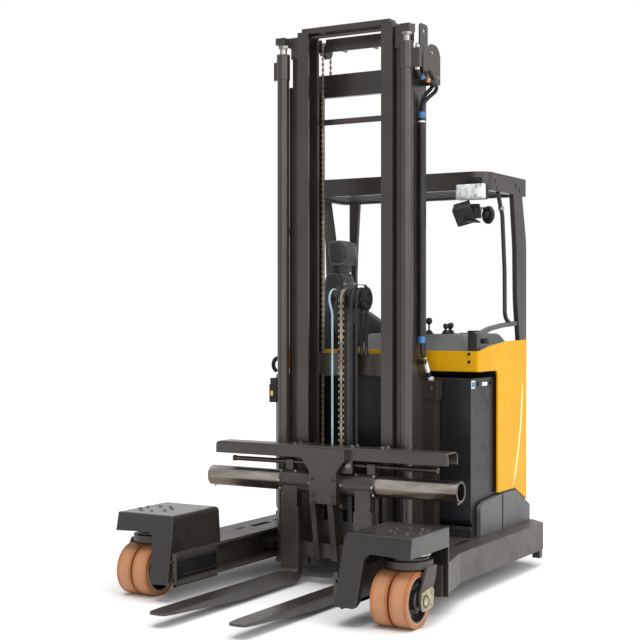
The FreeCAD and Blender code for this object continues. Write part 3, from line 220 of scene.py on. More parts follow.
blackPlastic = moulded("blackPlastic", {"color": (0.013, 0.013, 0.014), "roughness": 0.45,
                                        "shader": {"Specular_IOR_Level": 0.22}})
tubeSteel = steel("tubeSteel", {"color": (0.38, 0.35, 0.31), "roughness": 0.22, "along": (0.12, 7, 7),
                                "stains": (0.5, 3, 3), "depth": 0.00004})


def shadedTubeUnderside():  # painted shade: the lower half of the tube is darkened towards dark brown
    finish = tubeSteel
    middle = middleOf("fork_tube")[2]
    level = finish.axis("Z") + 0.02 * finish.noise(9, (0.5, 4, 4))
    # painted shade: below the tube's middle the colour is mixed towards dark brown, standing in for the dimmer light
    # and reflection under it
    paintedShade = 1 - finish.band(level, middle - 0.012, middle + 0.038)
    finish.put("Base Color", finish.mixed(paintedShade * 0.85, finish.baseColor(), (0.155, 0.115, 0.080)))


shadedTubeUnderside()
rodSteel = steel("rodSteel", {"color": (0.42, 0.40, 0.37), "roughness": 0.22, "along": (9, 9, 0.3)})
zincPlate = steel("zincPlate", {"color": (0.36, 0.35, 0.32), "roughness": 0.34, "along": (6, 6, 6), "depth": 0.0001})
yellowZinc = steel("yellowZinc", {"color": (0.66, 0.61, 0.40), "roughness": 0.34, "along": (5, 5, 5), "depth": 0.0001})
screwBrown = steel("screwBrown", {"color": (0.115, 0.088, 0.066), "roughness": 0.42, "along": (5, 5, 5)})
boltGrey = steel("boltGrey", {"color": (0.14, 0.128, 0.118), "roughness": 0.38, "along": (6, 6, 6)})
chainSteel = steel("chainSteel", {"color": (0.52, 0.44, 0.34), "roughness": 0.40, "along": (5, 5, 5)})
hoseRubber = moulded("hoseRubber", {"color": (0.012, 0.012, 0.013), "roughness": 0.42, "grain": 900,
                                    "shader": {"Specular_IOR_Level": 0.3}})
blueHose = moulded("blueHose", {"color": (0.27, 0.38, 0.44), "roughness": 0.35, "grain": 900})
blueCap = moulded("blueCap", {"color": (0.03, 0.12, 0.30), "roughness": 0.4})
orangeCap = moulded("orangeCap", {"color": (0.55, 0.16, 0.03), "roughness": 0.4})
gapBlack = moulded("gapBlack", {"color": (0.005, 0.005, 0.005), "roughness": 0.8, "shader": {"Specular_IOR_Level": 0.1}})
yellowTag = moulded("yellowTag", {"color": (0.62, 0.46, 0.05), "roughness": 0.45})
tagWhite = moulded("tagWhite", {"color": (0.62, 0.62, 0.60), "roughness": 0.5, "grain": 1500})


def bodyCreaseWithHighlight():
    # the side column's pressed line: the surface steps along a curve that leans forwards at its foot, and a painted
    # highlight runs along the line
    finish = bodyYellow
    low, high = corners("body_shell")
    level = (finish.axis("Z") - float(low[2])) / float(high[2] - low[2])
    off = finish.axis("Y") - (0.918 + 0.50 * level - 0.335 * level * level)
    step = finish.band(off, -0.016, 0.016)
    window = finish.band(level, 0.08, 0.20) * (1 - finish.band(level, 0.60, 0.80))
    # painted highlight: a narrow band beside the step is lightened towards pale yellow
    highlightLine = finish.band(off, -0.020, -0.004) * (1 - finish.band(off, 0.002, 0.012)) * window
    paintedHighlight = (0.92, 0.80, 0.50)  # painted highlight along the pressed line
    finish.put("Base Color", finish.mixed(highlightLine * 0.85, finish.baseColor(), paintedHighlight))
    pressed = {"Height": step * window, "Distance": 0.008, "Strength": 1.0, "Normal": finish.edges(0.010)[0]}
    finish.relief(finish.noise(420, detail=2), 0.00004, finish.add("ShaderNodeBump", {}, pressed))


bodyCreaseWithHighlight()


def fabric(name, settings):
    # woven cloth: two crossed sets of threads that cover and pass under each other, with fuzz
    base = settings["color"]
    finish = Finish(name, base, 0.86, Sheen_Weight=0.35, Sheen_Roughness=0.4)
    yarn = {"Vector": finish.place(), "Scale": settings["threads"], "Distortion": 1.2, "Detail": 1.0, "Detail Scale": 2.0}
    warp, weft = (finish.add("ShaderNodeTexWave", {"bands_direction": way}, yarn) for way in ("X", "Z"))
    weave = warp * weft + 0.4 * finish.noise(700)
    cloud = finish.noise(9, detail=5)
    dark, light = (tuple(c * k for c in base) for k in (0.85, 1.3))
    finish.put("Base Color", finish.mixed(finish.band(cloud + 0.25 * weave, 0.4, 0.95), dark, light))
    return finish.relief(weave, 0.00025)


seatCloth = fabric("seatCloth", {"color": (0.022, 0.022, 0.026), "threads": 260})


def rollingTyre(name, node, settings):
    # cast polyurethane: saturated at the shoulders and walls, dusty and slightly scuffed along the middle of the tread
    centre, radius, halfWidth = middleOf(node), settings["radius"], settings["halfWidth"]
    finish = Finish(name, (0.46, 0.19, 0.09), 0.40, Specular_IOR_Level=0.35)
    here = finish.place(shift=tuple(-c for c in centre))
    flat = finish.add("ShaderNodeVectorMath", {"operation": "MULTIPLY"}, {0: here, 1: (0, 1, 1)})
    reach = finish.add("ShaderNodeVectorMath", {"operation": "LENGTH"}, {0: flat}, out="Value")
    fromTruck = finish.absolute(finish.axis("X")) - abs(centre[0])
    fromTread = finish.absolute(finish.absolute(fromTruck) - settings["spacing"])
    scuff = finish.noise(9, (2, 1, 1), detail=5, roughness=0.6)
    chips = finish.noise(70, detail=4)
    middle = 1 - finish.band(fromTread + 0.010 * scuff, halfWidth * 0.55, halfWidth * 0.98)
    dust = finish.band(reach, radius - 0.006, radius - 0.001) * middle
    color = finish.mixed(finish.band(scuff, 0.35, 0.68), (0.32, 0.112, 0.040), (0.40, 0.150, 0.058))
    color = finish.mixed(dust * (0.55 + 0.35 * scuff), color, (0.46, 0.235, 0.120))
    color = finish.mixed(finish.band(chips, 0.62, 0.75) * dust * 0.35, color, (0.52, 0.33, 0.21))
    edge = 1 - finish.band(reach, settings["rim"] + 0.001, settings["rim"] + 0.005)
    finish.put("Base Color", finish.mixed(edge * 0.8, color, (0.48, 0.44, 0.33)))
    finish.put("Roughness", 0.34 + 0.22 * scuff)
    return finish.relief(scuff + 0.25 * chips, 0.0005)


loadTread = rollingTyre("loadTread", "left_load_tyres", {"rim": 0.106, "radius": 0.130, "spacing": 0.049, "halfWidth": 0.043})
driveTread = rollingTyre("driveTread", "drive_tyre", {"rim": 0.1395, "radius": 0.1715, "spacing": 0.0, "halfWidth": 0.0675})
railPaint = paint("railPaint", {"color": (0.045, 0.044, 0.046), "roughness": 0.36, "wear": 0.04})
railGrey = {"behind": 0.546, "under": 1.402, "sharp": 0.001}


def blackEnds(settings):  # the rail keeps its grey behind the fin and below the bent post, the rest is black
    finish, behind, under = railPaint, settings["behind"], settings["under"]
    rear = finish.band(finish.axis("Y"), behind, behind + settings["sharp"])
    high = finish.band(finish.axis("Z"), under, under + settings["sharp"])
    finish.put("Base Color", finish.mixed(rear * (1 - high), (0.005, 0.005, 0.005), finish.baseColor()))


blackEnds(railGrey)
finishOf = {"mast_paint": mastPaint, "leg_paint": legPaint, "housing_paint": housingPaint, "battery_case": batteryPaint,
            "yellow_paint": bodyYellow, "cover_plastic": coverPlastic, "dark_metal": darkPaint, "black_plastic": blackPlastic,
            "seat_fabric": seatCloth, "tread": loadTread, "bare_steel": rodSteel, "lamp": blackPlastic}
special = {"fork_tube": tubeSteel, "spread_screw": tubeSteel, "drive_tyre": driveTread, "crosshead_wheels": darkPaint,
           "mid_chain_wheels": darkPaint, "free_barrel": darkPaint, "crosshead": darkPaint, "pulley_cover": mastPaint,
           "guard_roof": guardPaint, "guard_posts": guardPaint, "grab_rail": railPaint}
for name, item in nodes.items():
    item.data.materials.clear()
    item.data.materials.append(special.get(name, finishOf[slotOf[name]]).material)
print("materials made")


# ---- surfaces ----

def gridFaces(rows, columns, wrapRows=False, wrapColumns=True):  # four corners of each cell of a grid of points
    row = np.arange(rows if wrapRows else rows - 1)[:, None]
    column = np.arange(columns if wrapColumns else columns - 1)[None, :]
    nextRow, nextColumn = (row + 1) % rows, (column + 1) % columns
    cells = [row * columns + column, row * columns + nextColumn, nextRow * columns + nextColumn, nextRow * columns + column]
    return np.stack([c + 0 * (row + column) for c in cells], -1).reshape(-1, 4)


def fans(rows, columns):  # triangles from the two last points to the first and the last row
    step = np.arange(columns)
    after = (step + 1) % columns
    first = np.stack([step * 0 + rows * columns, after, step], -1)
    last = np.stack([step * 0 + rows * columns + 1, step + (rows - 1) * columns, after + (rows - 1) * columns], -1)
    return np.concatenate([first, last])


def closed(rings):  # a solid skin over a stack of rings (rows, columns, 3), capped by its two middles
    rows, columns = rings.shape[:2]
    middles = np.stack([rings[0].mean(0), rings[-1].mean(0)])
    return np.concatenate([rings.reshape(-1, 3), middles]), [gridFaces(rows, columns), fans(rows, columns)]


def carried(profile, path, across, scale=None):
    # a flat profile (a, b) stood square on each point of a path: point + a * side + b * (direction x side)
    path = np.asarray(path, float)
    along = np.gradient(path, axis=0)
    along /= np.linalg.norm(along, axis=1)[:, None]
    side = np.asarray(across, float)[None] - (along @ np.asarray(across, float))[:, None] * along
    side /= np.linalg.norm(side, axis=1)[:, None]
    other = np.cross(along, side)
    size = np.ones(len(path)) if scale is None else np.asarray(scale)
    flat = np.asarray(profile, float)
    return path[:, None] + size[:, None, None] * (flat[None, :, :1] * side[:, None] + flat[None, :, 1:] * other[:, None])


def circle(radius, count=12):  # points at equal angles
    angle = np.linspace(0, 2 * np.pi, count, endpoint=False)
    return np.stack([radius * np.cos(angle), radius * np.sin(angle)], -1)


def spun(profile, count):
    # rings of a profile of (radius, height) about Z: x = radius cos, y = radius sin, z = height
    profile = np.asarray(profile, float)
    angle = np.linspace(0, 2 * np.pi, count, endpoint=False)
    return np.stack([profile[:, :1] * np.cos(angle), profile[:, :1] * np.sin(angle), profile[:, 1:] + 0 * angle], -1)


def turned(profile, count=24):  # a spun profile, capped at both ends
    return closed(spun(profile, count))


def collar(profile, count=32):  # a closed profile spun about Z, with a hole through it
    return spun(profile, count).reshape(-1, 3), [gridFaces(len(profile), count, True)]


def outline(corners, radius, steps=4):
    # a closed outline with each corner rounded: an arc through the corner's two cut points, as a quadratic curve
    points = np.asarray(corners, float)
    back, ahead = np.roll(points, 1, 0) - points, np.roll(points, -1, 0) - points
    reach = np.minimum(radius, 0.45 * np.minimum(np.linalg.norm(back, axis=1), np.linalg.norm(ahead, axis=1)))[:, None]
    first = points + back / np.linalg.norm(back, axis=1)[:, None] * reach
    last = points + ahead / np.linalg.norm(ahead, axis=1)[:, None] * reach
    t = np.linspace(0, 1, steps)[None, :, None]
    curve = (1 - t) ** 2 * first[:, None] + 2 * t * (1 - t) * points[:, None] + t ** 2 * last[:, None]
    return curve.reshape(-1, 2)


def plate(corners, radius, thick, rim=0.0012):
    # an outline raised to a thickness, its two edges drawn in by a small rim
    flat = outline(corners, radius)
    middle = flat.mean(0)
    inward = (middle - flat) / np.linalg.norm(middle - flat, axis=1)[:, None]
    rings = [np.column_stack([flat + inward * pull, np.full(len(flat), height)])
             for pull, height in ((rim, 0), (0, rim), (0, thick - rim), (rim, thick))]
    return closed(np.stack(rings))


def frames(direction, roll=(0, 0, 1)):
    # three axes whose last one points along a direction
    up = np.asarray(direction, float) / np.linalg.norm(direction)
    side = np.cross(roll, up)
    side = np.array((1.0, 0, 0)) if np.linalg.norm(side) < 1e-6 else side / np.linalg.norm(side)
    return np.stack([side, np.cross(up, side), up], -1)


def spread(shape, places, direction=(0, 0, 1), roll=(0, 0, 1)):
    # one shape set down at many places: place + axes x point
    points, faces = shape
    places = np.atleast_2d(np.asarray(places, float))
    axes = frames(direction, roll) if np.ndim(direction) == 1 else direction
    moved = places[:, None] + points @ axes.T
    jump = (np.arange(len(places)) * len(points))[:, None, None]
    return moved.reshape(-1, 3), [(f[None] + jump).reshape(-1, f.shape[1]) for f in faces]


def together(*shapes):  # several skins as one
    points, faces, start = [], [], 0
    for shape in shapes:
        points.append(shape[0])
        faces += [f + start for f in shape[1]]
        start += len(shape[0])
    return np.concatenate(points), faces


def make(name, shape, finish, body=None, sharp=35, outward=True):
    # puts a skin into a mesh, turns its faces outwards and lets it ride on a body
    points, faces = shape
    mesh = bpy.data.meshes.new(name)
    mesh.from_pydata(points.tolist(), [], [f for group in faces for f in group.tolist()])
    if outward:
        work = bmesh.new()
        work.from_mesh(mesh)
        bmesh.ops.remove_doubles(work, verts=work.verts, dist=1e-6)
        bmesh.ops.recalc_face_normals(work, faces=work.faces)
        work.to_mesh(mesh)
        work.free()
    mesh.polygons.foreach_set("use_smooth", [True] * len(mesh.polygons))
    mesh.set_sharp_from_angle(angle=math.radians(sharp))
    item = bpy.data.objects.new(name, mesh)
    bpy.context.collection.objects.link(item)
    mesh.materials.append(finish.material)
    if body:
        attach(item, body)
    return item


def setDown(rows, body):
    # each row's shape at its places; a row may name its own body, direction, roll and sharpness, and the slot it names
    # is not read
    for row in rows:
        shape = spread(row["shape"], row["at"], row.get("toward", (0, 0, 1)), row.get("roll", (0, 0, 1)))
        make(row["name"], shape, row["finish"], row.get("body", body), row.get("sharp", 35))


def hexBolt(across, height, washer=True):  # chamfered six-sided head on a washer, standing on z = 0
    radius = across / 2
    base = 0.25 * height if washer else 0.0
    top = base + height
    head = turned([(radius, base), (radius, base + 0.8 * height), (radius * 0.86, top), (radius * 0.3, top)], 6)
    if not washer:
        return head
    return together(turned([(radius * 1.3, 0), (radius * 1.3, base * 0.8), (radius * 1.22, base)], 14), head)


def capScrew(radius, height):  # round head with a six-sided socket
    profile = [(1, 0), (1, 0.85), (0.9, 1), (0.5, 1), (0.45, 0.45)]
    return turned([(radius * r, height * h) for r, h in profile], 12)


def hose(points, radius, steps=10, count=10):
    # a tube along a smooth line: each stretch is a Catmull-Rom cubic of four neighbouring points
    p = np.asarray(points, float)
    p = np.concatenate([2 * p[:1] - p[1:2], p, 2 * p[-1:] - p[-2:-1]])
    t = np.linspace(0, 1, steps, endpoint=False)[None, :, None]
    a, b, c, d = p[:-3, None], p[1:-2, None], p[2:-1, None], p[3:, None]
    line = 0.5 * (2 * b + (c - a) * t + (2 * a - 5 * b + 4 * c - d) * t ** 2 + (3 * b - a - 3 * c + d) * t ** 3)
    line = np.concatenate([line.reshape(-1, 3), p[-2:-1]])
    return closed(carried(circle(radius, count), line, (1, 0.02, 0.01)))


def along(start, end, count):  # evenly spaced points, ends included
    return np.linspace(np.asarray(start, float), np.asarray(end, float), count)


# ---- chains ----

leafChain = {"pitch": 0.0165, "width": 0.038, "thick": 0.0044, "tall": 0.0125, "wideEnd": -0.0018, "narrowEnd": 0.0042,
             "narrow": 0.30}


def chainRun(start, end, settings, leaves=4):
    # rows of leaf plates: even pitches carry the outer leaves, odd ones the leaves between; a pin at every joint
    start, end = np.asarray(start, float), np.asarray(end, float)
    length = np.linalg.norm(end - start)
    count = max(2, int(round(length / settings["pitch"])))
    direction = (end - start) / length
    pitch = length / count
    half = settings["tall"] / 2
    thick = settings["thick"]
    plates = []
    for past in (settings["wideEnd"], settings["narrowEnd"]):  # how far each leaf reaches past its pins
        low, high, wide = -past, pitch + past, half * 0.75
        leaf = outline([(-wide, low), (wide, low), (wide, high), (-wide, high)], 0.003, 2)
        side = np.column_stack([np.zeros(len(leaf)), leaf])
        plates.append(closed(np.stack([side - (thick / 2, 0, 0), side + (thick / 2, 0, 0)])))
    pinHalf = 0.22 * settings["width"]
    pin = turned([(0.0024, -pinHalf), (0.0034, 0.001 - pinHalf), (0.0034, pinHalf - 0.001), (0.0024, pinHalf)], 8)
    pinShape = spread(pin, (0, 0, 0), (1, 0, 0))
    steep = abs(direction[2]) >= 0.9
    axes = np.stack([(1, 0, 0), np.cross(direction, (1, 0, 0)), direction], -1) if steep else frames(direction)
    joints = start + np.arange(count + 1)[:, None] * pitch * direction
    offsets = np.linspace(-0.5, 0.5, 2 * leaves - 1) * (settings["width"] - 2 * thick)  # outer, inner, outer ... leaf
    even = (joints[:-1:2][:, None] + offsets[::2][None, :, None] * axes[:, 0]).reshape(-1, 3)
    odd = (joints[1:-1:2][:, None] + settings["narrow"] * offsets[1::2][None, :, None] * axes[:, 0]).reshape(-1, 3)
    return together(spread(plates[0], even, axes), spread(plates[1], odd, axes), spread(pinShape, joints, axes))


def wheelArc(x, frontY, rearY, top, settings, leaves=4):
    # half a turn over the wheel in nine short runs: y = middle - radius cos, z = top + radius sin
    radius, middle = (rearY - frontY) / 2, (rearY + frontY) / 2
    turn = np.linspace(0, np.pi, 10)
    spots = np.stack([x + 0 * turn, middle - radius * np.cos(turn), top + radius * np.sin(turn)], -1)
    return together(*[chainRun(a, b, settings, leaves) for a, b in zip(spots[:-1], spots[1:])])


freeLow, freeHigh = corners("free_lift_chain")
chainX = (freeLow[0] + freeHigh[0]) / 2
frontY, rearY = freeLow[1] + 0.006, freeHigh[1] - 0.006
rearFoot = corners("inner_mast")[0][2] + 1.150
freeTop = freeHigh[2]
run = chainRun((chainX, frontY, freeLow[2] + 0.004), (chainX, frontY, freeTop), leafChain)
front = make("freeChainFront", run, chainSteel)
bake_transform(front)
run = chainRun((chainX, rearY, rearFoot), (chainX, rearY, freeTop), leafChain)
rear = make("freeChainRear", run, chainSteel)
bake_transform(rear)
make("freeChainTop", wheelArc(chainX, frontY, rearY, freeTop, leafChain), chainSteel, "free_lift_head")
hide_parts("free_lift_chain")

liftLow, liftHigh = corners("mid_lift_chains")
liftChain = {"pitch": 0.0150, "width": 0.017, "thick": 0.0024, "tall": 0.0115, "wideEnd": -0.0004, "narrowEnd": 0.0040,
             "narrow": 0.35}
liftX, liftFrontY, liftRearY = liftHigh[0] - 0.009, liftLow[1] + 0.005, liftHigh[1] - 0.005
beamTop = corners("outer_mast")[1][2]
for side, sign in sides:
    x, mark = sign * liftX, side.capitalize()
    run = chainRun((x, liftFrontY, liftLow[2]), (x, liftFrontY, liftHigh[2]), liftChain, 3)
    ahead = make("liftChainFront" + mark, run, chainSteel)
    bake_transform(ahead)
    run = chainRun((x, liftRearY, beamTop), (x, liftRearY, liftHigh[2]), liftChain, 3)
    back = make("liftChainRear" + mark, run, chainSteel)
    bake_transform(back)
    arc = wheelArc(x, liftFrontY, liftRearY, liftHigh[2], liftChain, 3)
    make("liftChainTop" + mark, arc, chainSteel, "middle_mast")
    if side == "left":
        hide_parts("mid_lift_chains")
print("chains made")


# ---- bolts and small fittings ----

def flipped(places):  # the same places on both sides of the truck
    places = np.atleast_2d(np.asarray(places, float))
    return np.concatenate([places, places * (-1, 1, 1)])


def washer(inner, outer, low, high):  # a flat ring with broken edges, as a closed profile
    rim = min(0.0008, (high - low) / 3)
    return [(inner, low), (outer - rim, low), (outer, low + rim), (outer, high - rim), (outer - rim, high), (inner, high)]


def rectangle(halfWidth, halfHeight):  # four corners about the middle
    return [(-halfWidth, -halfHeight), (halfWidth, -halfHeight), (halfWidth, halfHeight), (-halfWidth, halfHeight)]


def radial(head, places, axisY, axisZ):  # heads that point away from a line along X
    return together(*[spread(head, p, (0, p[1] - axisY, p[2] - axisZ), (1, 0, 0)) for p in places])


channel = {"face": 0.484, "front": -0.742, "back": -0.356, "low": 0.074, "high": 0.214, "lip": 0.012, "out": 0.007}


def channelFront(side, sign):
    # the leg's inner side by its wheel: a dark floor between two lips, with a short post at the front
    face, front, back, low, high, out = (channel[key] for key in ("face", "front", "back", "low", "high", "out"))
    middleY, middleZ = (front + back) / 2, (low + high) / 2
    long, tall, lip = (back - front) / 2, (high - low) / 2, channel["lip"] / 2

    def strip(halfLong, halfTall, round, thick, rim, y, z):  # a flat strip on the leg's face
        return spread(plate(rectangle(halfLong, halfTall), round, thick, rim), (sign * face, y, z), (-sign, 0, 0))

    ground = strip(long - .002, tall - .002, .002, .0012, .0003, middleY, middleZ)
    make("channelFloor" + side.capitalize(), ground, gapBlack, "chassis")
    strips = [strip(long, lip, .002, out, .001, middleY, z) for z in (low + lip, high - lip)]
    strips.append(strip(.010, tall, .002, out, .001, front + .010, middleZ))
    strips.append(strip(long * .78, .004, .001, .004, .001, middleY + .04, middleZ - .018))
    make("channelLips" + side.capitalize(), together(*strips), darkPaint, "chassis")


for side, sign in sides:
    channelFront(side, sign)
kingpin = {"x": 0.731, "y": -0.550, "circle": 0.086, "count": 8}
housingTop = corners("left_wheel_housing")[1][2]
turnAngle = 2 * np.pi * (np.arange(kingpin["count"]) + 0.5) / kingpin["count"]
housingRing = np.stack([kingpin["x"] + kingpin["circle"] * np.cos(turnAngle),
                        kingpin["y"] + kingpin["circle"] * np.sin(turnAngle),
                        np.full(kingpin["count"], housingTop)], -1)
barTop = corners("load_bar")[1][2]
plateFront = corners("fork_frame")[0][1]
legTip = corners("left_leg")[0][1]
bandFront = corners("body_shell")[0][1]
fasteners = [
    {"name": "housingBolts", "shape": hexBolt(0.016, 0.0045), "finish": boltGrey, "at": flipped(housingRing)},
    {"name": "framePlateBolts", "body": "tilt_frame", "shape": hexBolt(0.019, 0.007), "toward": (0, -1, 0), "finish": darkPaint,
     "at": [(x, plateFront, z) for x, z in ((-.057, .58), (-.05, .497), (-.05, .46), (.064, .58), (.064, .494), (.064, .465))]},
    {"name": "barBolts", "body": "tilt_frame", "shape": hexBolt(0.021, 0.008), "finish": boltGrey,
     "at": [(x, y, barTop) for x in (-.22, .13, .31) for y in (.052, -.006)]},
    {"name": "legTipBolts", "shape": hexBolt(0.022, 0.008, False), "toward": (0, -1, 0), "finish": zincPlate,
     "at": flipped([(.471, legTip + 0.008, .205), (.471, legTip + 0.008, .115)])},
    {"name": "finBolts", "shape": capScrew(0.009, 0.006), "toward": (0, -1, 0), "finish": blackPlastic,
     "at": [(.578, bandFront, 1.225), (.578, bandFront, 1.182)]},
    {"name": "guardBolts", "shape": capScrew(0.012, 0.007), "toward": (1, 0, 0), "finish": darkPaint,
     "at": [(.601, .765, 2.176), (.601, .790, 2.138), (.601, 1.07, 2.176), (.601, 1.12, 2.150)]},
    {"name": "guardBoltsRight", "shape": capScrew(0.012, 0.007), "toward": (-1, 0, 0), "finish": darkPaint,
     "at": [(-.601, .765, 2.176), (-.601, .790, 2.138), (-.601, .955, 2.150), (-.601, 1.00, 2.150)]},
    {"name": "tankBolts", "shape": capScrew(0.008, 0.005), "toward": (0, 1, 0), "finish": zincPlate,
     "at": flipped([(.25, 1.23, .33), (.25, 1.23, .14), (.54, 1.23, .33), (.54, 1.23, .14)])},
]
setDown(fasteners, "chassis")

tube = {"y": -0.003, "z": 0.549}
sleeveBolts = {"left": [(.168, -.031, .603), (.281, -.045, .601), (.095, -.063, .549), (.281, -.069, .548),
                        (.281, -.055, .507)],
               "right": [(-.281, -.069, .553), (-.200, -.031, .603), (-.281, -.057, .510), (-.095, -.063, .549),
                         (-.281, -.045, .601)]}
for side, places in sleeveBolts.items():
    bolts = radial(hexBolt(0.015, 0.006, False), places, tube["y"], tube["z"])
    make(side + "SleeveBolts", bolts, zincPlate, side + "_fork_slide")

hangPlate = {"corners": [(-.036, -.033), (.036, -.033), (.036, .037), (-.036, .037)], "thick": 0.013, "at": (.119, -.049, .642)}
hangX, hangY, hangZ = hangPlate["at"]
hang = spread(plate(hangPlate["corners"], 0.006, hangPlate["thick"]), (hangX, hangY + hangPlate["thick"], hangZ), (0, -1, 0))
make("hangPlate", hang, mastPaint, "tilt_frame")
hangBolt = spread(hexBolt(0.026, 0.008), (.13, hangY, .649), (0, -1, 0))
make("hangPlateBolt", hangBolt, zincPlate, "tilt_frame")

thread = {"outer": 0.0142, "depth": 0.0024, "pitch": 0.0075, "rows": 4, "around": 14}


def threaded(start, end, y, z, settings):
    # radius = outer - depth * |2 * part of a turn - 1|, where the part grows with x / pitch and falls with the angle
    rows = int((end - start) / settings["pitch"] * settings["rows"])
    x = np.linspace(start, end, rows)[:, None]
    angle = np.linspace(0, 2 * np.pi, settings["around"], endpoint=False)[None, :]
    phase = np.mod(x / settings["pitch"] - angle / (2 * np.pi), 1)
    radius = settings["outer"] - settings["depth"] * np.abs(2 * phase - 1)
    return closed(np.stack([x + 0 * angle, y + radius * np.cos(angle), z + radius * np.sin(angle)], -1))


screwEnds = [corner[0] for corner in corners("spread_screw")]
screwY, screwZ = middleOf("spread_screw")[1:]
screw = threaded(screwEnds[0] + 0.012, screwEnds[1] - 0.012, screwY, screwZ, thread)
spindle = make("spreadScrew", screw, screwBrown, "tilt_frame")
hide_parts("spread_screw")
endNut = collar(washer(0.004, 0.0165, 0, 0.014), 24)
endNuts = spread(endNut, [(x, screwY, screwZ) for x in (screwEnds[1] - 0.014, screwEnds[0])], (1, 0, 0))
make("screwEndNuts", endNuts, screwBrown, "tilt_frame")

rimX = corners("fork_tube")[1][0] - 0.001
rimShape = collar(washer(0.0432, 0.0553, 0, 0.0015), 48)
rims = together(*[spread(rimShape, (sign * rimX, tube["y"], tube["z"]), (sign, 0, 0)) for side, sign in sides])
make("tubeRims", rims, boltGrey, "tilt_frame", 50)
stopBolts = spread(hexBolt(0.012, 0.010, False), flipped((.736, tube["y"], tube["z"] - 0.054)), (0, 0, -1))
make("tubeStopBolts", stopBolts, zincPlate, "tilt_frame")
print("bolts and screw made")


# ---- load wheels ----

axle = {"y": -0.630, "z": 0.130, "half": 0.092, "nutFace": 0.056, "nutCircle": 0.074, "plateFace": 0.129}
hubCap = turned([(.047, 0), (.045, .004), (.034, .010), (.0215, .0125), (.0208, .0125)], 32)
wheelNut = hexBolt(0.017, 0.010)
rimRing = collar([(.0985, 0), (.1055, 0), (.1062, .0008), (.1055, .0016), (.0985, .0016), (.0972, .0004)], 56)
axleRing = collar(washer(0.0203, 0.032, 0, 0.0019), 40)
axleScrew = capScrew(0.0065, 0.0019)
nutAngle = 2 * np.pi * np.arange(6) / 6
nutPlaces = axle["nutCircle"] * np.stack([0 * nutAngle, np.cos(nutAngle), np.sin(nutAngle)], -1)
screwPlaces = np.array([(0, -.028, .028), (0, -.026, -.030), (0, .062, .034), (0, .056, -.026)])
bearing = {"ring": collar(washer(0.1040, 0.1068, 0, 0.006), 48), "race": collar(washer(0.076, 0.098, 0, 0.012), 48)}


def bothEnds(shape, centre, reach, offsets=0.0):  # a shape at each end of the axle, facing outwards
    return together(*[spread(shape, centre + (face * reach, 0, 0) + offsets, (face, 0, 0)) for face in (1, -1)])


for side, sign in sides:
    centre = np.array((sign * kingpin["x"], axle["y"], axle["z"]))
    wheels, steer = side + "_wheels", side + "_steer"
    make(side + "HubCaps", bothEnds(hubCap, centre, axle["half"] - 0.002), darkPaint, wheels)
    make(side + "WheelNuts", bothEnds(wheelNut, centre, axle["nutFace"], nutPlaces), zincPlate, wheels)
    make(side + "RimEdges", bothEnds(rimRing, centre, axle["half"] - 0.0008), tubeSteel, wheels)
    make(side + "AxleRings", bothEnds(axleRing, centre, axle["plateFace"]), darkPaint, steer)
    make(side + "AxleScrews", bothEnds(axleScrew, centre, axle["plateFace"], screwPlaces), zincPlate, steer)
    ring = spread(bearing["ring"], (sign * kingpin["x"], kingpin["y"], 0.3262))
    make(side + "BearingRing", ring, yellowZinc, "chassis")
    race = spread(bearing["race"], (sign * kingpin["x"], kingpin["y"], 0.3045))
    make(side + "BearingRace", race, darkPaint, steer)


def yokeFinish(name, sign):
    # painted yoke whose outermost plates over the axle ends are zinc plated
    finish = paint(name, {"color": (0.034, 0.027, 0.020), "roughness": 0.42, "wear": 0.3})
    plated = finish.band(finish.absolute(finish.axis("X") - sign * kingpin["x"]), 0.1236, 0.1242)
    tint = finish.mixed(finish.band(finish.noise(22, detail=6), 0.35, 0.7), (0.30, 0.27, 0.17), (0.52, 0.47, 0.30))
    finish.put("Base Color", finish.mixed(plated, finish.baseColor(), tint))
    finish.put("Metallic", plated * 0.85)
    finish.put("Roughness", 0.40 + 0.10 * finish.noise(30) - 0.04 * plated)
    return finish


for side, sign in sides:
    nodes[side + "_load_yoke"].data.materials[0] = yokeFinish(side + "Yoke", sign).material
print("load wheels made")


# ---- hoses ----

hoseStyle = {"pulleyRadius": 0.0545, "twin": (0.045, 0.075), "twinRadius": 0.0085, "thinX": -0.094, "lowerX": -0.076,
             "thinReach": 0.052, "thinRadius": 0.0062}
wheelY, wheelZ = middleOf("crosshead_wheels")[1:]
carriageTop = corners("lift_carriage")[1][2]
hoseRuns = [{"name": "liftHose" + mark, "x": x, "reach": hoseStyle["pulleyRadius"], "radius": hoseStyle["twinRadius"],
             "finish": hoseRubber} for mark, x in zip("AB", hoseStyle["twin"])]
hoseRuns.append({"name": "sensorHose", "x": hoseStyle["thinX"], "reach": hoseStyle["thinReach"],
                 "radius": hoseStyle["thinRadius"], "finish": blueHose})


def pipe(line, radius):  # a round section carried along a line that runs across X
    return closed(carried(circle(radius, 12), line, (1, 0, 0)))


